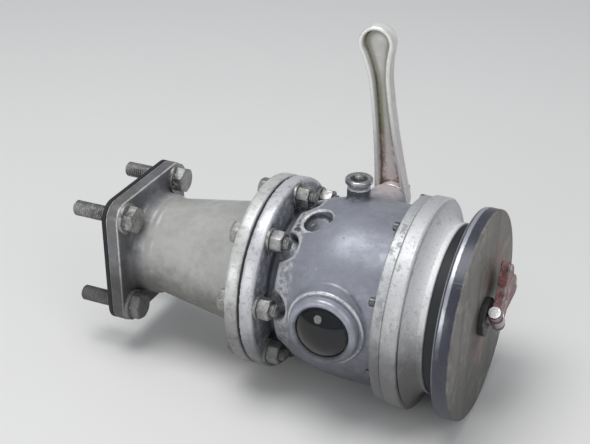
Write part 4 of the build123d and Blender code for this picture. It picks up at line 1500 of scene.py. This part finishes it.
@dataclass
class TankEnd:
    """The spool with its square flange, gasket and tank bolts."""

    cell: float = 1.15 * MM
    spacing: float = 74 * MM
    bore: float = 6.6 * MM
    rim: float = 12 * MM
    bolt: HexBolt = HexBolt(across=18 * MM, head=7.5 * MM, radius=5.9 * MM, pitch=1.75 * MM)

    def build(self) -> None:
        """Builds and dresses the tank end."""
        dress_node("tank_gasket", GASKET)
        relief = {"proud": (6, 0.25 * MM), "broad": (60, 1.6 * MM)}
        spool = cast_copy("spool", "spool_casting", self.cell, 3, **relief)
        settle(spool, Body.VALVE, SPOOL_PAINT, Slot.SPOOL, "spool")
        half, turns = self.spacing / 2, [12.0, 41.0, 3.0, 27.0]
        corners = Fasteners([Vector((0, y, z)) for y in (-half, half) for z in (-half, half)], turns)
        low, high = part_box("tank_washers")
        model = washer("tank_washer", low.x, high.x, self.bore, self.rim)
        corners.fill(model, Along.OUTBOARD, STEEL, "tank_washers")
        low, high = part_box("tank_bolts")
        corners.fill(self.bolt.model("tank_bolt", -high.x, 0, -low.x), Along.INBOARD, STEEL, "tank_bolts")


@dataclass
class FlangeJoint:
    """The eight bolts, washers and nuts that hold the round flanges together."""

    bore: float = 5.2 * MM
    rim: float = 8.8 * MM
    bolt: HexBolt = HexBolt(across=14.3 * MM, head=6.4 * MM, radius=4.75 * MM, pitch=1.6 * MM)

    def nut(self, start: float, end: float) -> Object:
        """Models a nut with both crowns and a countersunk hole.

        Args:
            start: The face that it seats on.
            end: Its other face.

        Returns:
            The new object, along +X.
        """
        nut = crowned_hexagon("flange_nut", self.bolt.across, start, end, both=True)
        sink, bore = 0.7 * MM, self.bolt.radius - 0.2 * MM
        hole = [(start - MM, 0), (start - MM, bore + sink + MM), (start + sink, bore)]
        hole += [(end - sink, bore), (end + MM, bore + sink + MM), (end + MM, 0)]
        cut(nut, turned("hole", hole, 32))
        soften_edges(nut, 0.2 * MM)
        return nut

    def build(self) -> None:
        """Builds and dresses the joint."""
        dress_node("flange_gasket", GASKET)
        turns = [8.0, 33.0, 51.0, 19.0, 44.0, 2.0, 27.0, 58.0]
        holes = Fasteners(on_circle(FLANGE_CIRCLE, FLANGE_TURN), turns)
        nodes = ("flange_bolts", "flange_washers", "flange_nuts")
        (head, tip), (seat, top), (low, high) = ([corner.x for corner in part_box(node)] for node in nodes)
        models = (
            self.bolt.model("flange_bolt", head, seat - MM, tip),
            washer("flange_washer", seat, top, self.bore, self.rim),
            self.nut(low, high),
        )
        for node, model in zip(nodes, models, strict=True):
            holes.fill(model, Along.OUTBOARD, STEEL, node)


@dataclass
class ValveCasting:
    """The cast body with its clamp ring, screws and top plug."""

    cell: float = 1.22 * MM
    screw_circle: float = 71.8 * MM

    def build(self) -> None:
        """Builds and dresses the casting."""
        relief = {"proud": (6, 0.25 * MM), "broad": (60, 1.8 * MM)}
        body = cast_copy("valve_body", "body_casting", self.cell, 3, **relief)
        settle(body, Body.VALVE, BODY_SKIN, Slot.BODY, "valve_body")
        dress_node("clamp_ring", CLAMP_METAL)
        dress_node("nose_adaptor", NOSE_METAL)
        self.build_screws()
        self.build_plug()

    def build_screws(self) -> None:
        """Builds the socket screws that hold the clamp ring, heads inboard."""
        low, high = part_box("ring_screws")
        length, head, rim, edge, shank = high.x - low.x, 4 * MM, 3.25 * MM, 0.4 * MM, 2 * MM
        outline = [(0, 0), (0, rim - edge), (edge, rim), (head, rim)]
        outline += [(head, shank), (length, shank), (length, 0)]
        screw = turned("ring_screw", outline, 32)
        cut(screw, hexagon("socket", 3 * MM, -MM, 2.2 * MM))
        turns = [11.0, 47.0, 29.0, 3.0, 38.0, 55.0, 20.0, 8.0]
        holes = Fasteners(on_circle(self.screw_circle, 18, low.x), turns)
        holes.fill(screw, Along.OUTBOARD, DARK_STEEL, "ring_screws")

    def build_plug(self) -> None:
        """Builds the top plug: a collar on a dark neck, and a six-sided stub that stands in its hollow."""
        low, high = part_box("top_plug")
        length, rim, edge, floor = 6 * MM, (high.x - low.x) / 2, 0.8 * MM, MM
        centre = middle("top_plug")
        foot = Vector((centre.x, centre.y, high.z - length))
        root, neck, shelf, lift, mouth = -10 * MM, 5 * MM, 7.6 * MM, 2 * MM, 6.6 * MM
        outline = [(root, 0), (root, neck), (0, neck), (0, shelf), (lift, shelf)]
        outline += [(lift, rim - edge), (lift + edge, rim), (length - edge, rim), (length, rim - edge)]
        outline += [(length, mouth), (length - edge, mouth - 0.6 * MM), (floor, mouth - MM), (floor, 0)]
        head = turned("top_plug_head", outline, 64)
        core = crowned_hexagon("top_plug_core", 6.2 * MM, floor - 0.2 * MM, length + 2.4 * MM)
        for piece, width, turn, finish in ((head, 0.25 * MM, 0, BRIGHT_STEEL), (core, 0.3 * MM, 20, STEEL)):
            soften_edges(piece, width)
            smooth(piece)
            place(piece, Along.UP, foot, turn)
            settle(piece, Body.VALVE, finish, Slot.STEEL, "top_plug")


@dataclass
class SightWindow:
    """The bezel, seal and domed glass on the rear side."""

    cell: float = 0.5 * MM
    dome: float = 18.5 * MM
    rise: float = 6.5 * MM
    foot: float = 21.2 * MM
    lip: float = 2 * MM

    def build(self) -> None:
        """Builds and dresses the window."""
        relief = {"proud": (8, 0.2 * MM), "broad": (40, 1.0 * MM)}
        bezel = cast_copy("sight_bezel", "bezel_ring", self.cell, 3, **relief)
        settle(bezel, Body.VALVE, BEZEL_SKIN, Slot.BODY, "sight_bezel")
        dress_node("sight_seal", RUBBER)
        low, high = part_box("sight_glass")
        radius = (self.dome**2 + self.rise**2) / (2 * self.rise)
        half = math.degrees(math.asin(self.dome / radius))
        outline = [(0, 0), (0, self.foot), (self.lip, self.foot), (self.lip, self.dome)]
        outline += arc((high.y - low.y - radius, 0), radius, half, 0, 16)
        glass = turned("glass_dome", outline)
        smooth(glass, 50)
        centre = middle("sight_glass")
        place(glass, Along.REARWARD, Vector((centre.x, high.y, centre.z)))
        settle(glass, Body.VALVE, SIGHT_GLASS, Slot.GLASS, "sight_glass")


@dataclass
class LeverSet:
    """The lever, its shaft, gland, washer, nut and crank."""

    cell: float = 0.6 * MM
    shaft: float = 5 * MM

    def seat(
        self, piece: Object, body: Body, finish: Finish, slot: Slot, node: str, turn: float = 0.0
    ) -> None:
        """Puts a piece that was modelled along +X on the shaft's axis, at its CAD node's inner end.

        Args:
            piece: The piece, from its inner end.
            body: The body that it rides on.
            finish: Its finish.
            slot: The record's slot.
            node: The CAD node that it replaces.
            turn: How far it is turned about the axis, in degrees.
        """
        axis = middle("lever_washer")
        smooth(piece)
        place(piece, Along.FORWARD, Vector((axis.x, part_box(node)[0].y, axis.z)), turn)
        settle(piece, body, finish, slot, node)

    def build(self) -> None:
        """Builds and dresses the lever."""
        relief = {"proud": (10, 0.25 * MM), "broad": (60, 1.0 * MM), "inside": (220, 2.0 * MM)}
        lever = cast_copy("lever", "lever_casting", self.cell, 4, **relief)
        settle(lever, Body.LEVER, LEVER_SKIN, Slot.LEVER, "lever")
        dress_node("crank", STEEL)
        self.build_shaft()
        self.build_nuts()

    def build_shaft(self) -> None:
        """Builds the shaft with its threaded end. Its square is hidden in the lever's hub."""
        low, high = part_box("lever_shaft")
        radius, edge, seat = (high.x - low.x) / 2, 0.5 * MM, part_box("lever")[0].y - low.y
        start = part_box("lever_washer")[0].y - low.y
        end = start + 0.2 * MM
        outline = [(0, 0), (0, radius - edge), (edge, radius), (seat, radius), (seat, self.shaft)]
        bar = turned("shaft_bar", [*outline, (end, self.shaft), (end, 0)], 48)
        join(bar, thread("shaft_thread", self.shaft - 0.1 * MM, 1.5 * MM, start, high.y - low.y))
        self.seat(bar, Body.LEVER, BRIGHT_STEEL, Slot.BRIGHT, "lever_shaft")

    def build_nuts(self) -> None:
        """Builds the gland round the shaft, and the washer and nut that hold the lever."""
        nuts = (
            ("shaft_gland", 24 * MM, 7.1 * MM, False, Body.VALVE),
            ("lever_nut", 17 * MM, 4.7 * MM, True, Body.LEVER),
        )
        for node, across, bore, both, body in nuts:
            low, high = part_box(node)
            depth = high.y - low.y
            nut = crowned_hexagon(node + "_hex", across, 0, depth, both)
            cut(nut, turned("hole", [(-MM, 0), (-MM, bore), (depth + MM, bore), (depth + MM, 0)], 32))
            soften_edges(nut, 0.25 * MM)
            self.seat(nut, body, STEEL, Slot.STEEL, node, 30)
        low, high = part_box("lever_washer")
        model = washer("lever_washer_ring", 0, high.y - low.y, self.shaft, 11 * MM, 64)
        self.seat(model, Body.LEVER, STEEL, Slot.STEEL, "lever_washer")


@dataclass
class PoppetSet:
    """The poppet, its seal, its stem and the spider that guides it."""

    def build(self) -> None:
        """Dresses the poppet and its guide."""
        dress_node("poppet", INNER_METAL)
        dress_node("stem_guide", INNER_METAL)
        dress_node("stem", BRIGHT_STEEL)
        dress_node("poppet_seal", RUBBER)


@dataclass
class CoverSet:
    """The cover with its rubber, hub, draw bolt and red grip."""

    face_round: float = 1.6 * MM
    back_round: float = 3.0 * MM
    bore: float = 5.1 * MM
    hub_cell: float = 0.5 * MM
    grip_cell: float = 0.4 * MM

    def build(self) -> None:
        """Builds and dresses the cover, whose disc has rounded rims and a hole for the draw bolt."""
        low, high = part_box("cover")
        rim, back, face = (high.z - low.z) / 2, self.back_round, self.face_round
        rims = [*arc((low.x + back, rim - back), back, 180, 90)]
        rims += arc((high.x - face, rim - face), face, 90, 0)
        disc = ring("cover_disc", [(low.x, self.bore), *rims, (high.x, self.bore)], 160)
        smooth(disc)
        settle(disc, Body.COVER, COVER_ENAMEL, Slot.COVER, "cover")
        dress_node("cover_rubber", RUBBER)
        dress_node("cover_plate", INNER_METAL)
        dress_node("draw_bolt", BRIGHT_STEEL)
        dress_node("grip_pin", BRIGHT_STEEL)
        relief = {"proud": (8, 0.2 * MM), "broad": (40, 0.8 * MM)}
        hub = cast_copy("cover_hub", "hub_casting", self.hub_cell, 4, **relief)
        settle(hub, Body.COVER, HUB_SKIN, Slot.HUB, "cover_hub")
        grip = cast_copy("grip", "red_grip", self.grip_cell, 4, proud=(10, 0.2 * MM))
        settle(grip, Body.GRIP, RED_ENAMEL, Slot.RED, "grip")


def look_from(thing: Object, at: Point, ahead: Vector) -> None:
    """Puts a lamp or a camera in the scene.

    Args:
        thing: The lamp or the camera.
        at: Where it stands.
        ahead: The way it looks.
    """
    thing.location = at
    thing.rotation_euler = ahead.to_track_quat("-Z", "Y").to_euler()
    bpy.context.scene.collection.objects.link(thing)


@dataclass
class Studio:
    """The pale floor, the soft light and the camera at the photograph's angle."""

    camera_at: Point = (0.4483, -0.6955, 0.4495)
    azimuth: float = 24.4
    elevation: float = 28.06
    half_width: float = 0.2465
    floor: Color = (0.84, 0.835, 0.82)
    sky: Color = (0.92, 0.95, 1.0)
    sky_strength: float = 0.36

    def build(self) -> None:
        """Adds the floor, lamps, world and camera."""
        bpy.context.scene.view_settings.view_transform = "Standard"
        self.add_floor()
        self.add_world()
        self.add_lamp("key", (-0.15, -0.25, 1.8), 1.2, 19.0)
        self.add_lamp("fill", (1.3, -0.7, 0.8), 1.1, 3.5)
        self.add_lamp("glint", (-0.5, -1.6, 0.45), 0.66, 4.5)
        self.add_camera()

    def add_floor(self) -> None:
        """Adds a wide floor just below the lowest rim."""
        bpy.ops.mesh.primitive_plane_add(size=12.0, location=(0, 0, CAD_BOX[0].z - 0.2 * MM))
        floor = bpy.context.object
        floor.name = "floor"
        material = bpy.data.materials.new("floor")
        material.use_nodes = True
        shader = material.node_tree.nodes["Principled BSDF"]
        shader.inputs["Base Color"].default_value = (*self.floor, 1.0)
        shader.inputs["Roughness"].default_value = 0.7
        floor.data.materials.append(material)

    def add_world(self) -> None:
        """Adds a plain pale sky."""
        world = bpy.data.worlds.new("studio")
        bpy.context.scene.world = world
        world.use_nodes = True
        back = world.node_tree.nodes["Background"]
        back.inputs["Color"].default_value = (*self.sky, 1.0)
        back.inputs["Strength"].default_value = self.sky_strength

    def add_lamp(self, name: str, at: Point, size: float, power: float) -> None:
        """Adds a round soft lamp that looks at the valve.

        Args:
            name: The lamp's name.
            at: Where it stands.
            size: Its width.
            power: Its power in watts.
        """
        data = bpy.data.lights.new(name, "AREA")
        data.shape = "DISK"
        data.size = size
        data.energy = power
        lamp = bpy.data.objects.new(name, data)
        lamp.visible_camera = False
        look_from(lamp, at, (CAD_BOX[0] + CAD_BOX[1]) / 2 - Vector(at))

    def add_camera(self) -> None:
        """Adds the camera where the photograph's stood, aimed at the valve and drawn in to it."""
        data = bpy.data.cameras.new("camera")
        data.sensor_width = 36.0
        data.lens = data.sensor_width / 2 / self.half_width
        camera = bpy.data.objects.new("camera", data)
        a, e = math.radians(self.azimuth), math.radians(self.elevation)
        ahead = Vector((-math.sin(a) * math.cos(e), math.cos(a) * math.cos(e), -math.sin(e)))
        look_from(camera, self.camera_at, ahead)
        bpy.context.scene.camera = camera


def main() -> None:
    """Builds every sub-assembly, then the studio."""
    logging.basicConfig(level=logging.INFO, format="%(message)s")
    for kind in (TankEnd, FlangeJoint, ValveCasting, SightWindow, LeverSet, PoppetSet, CoverSet, Studio):
        kind().build()
        log.info("%s is done", kind.__name__)


if __name__ == "__main__":
    main()
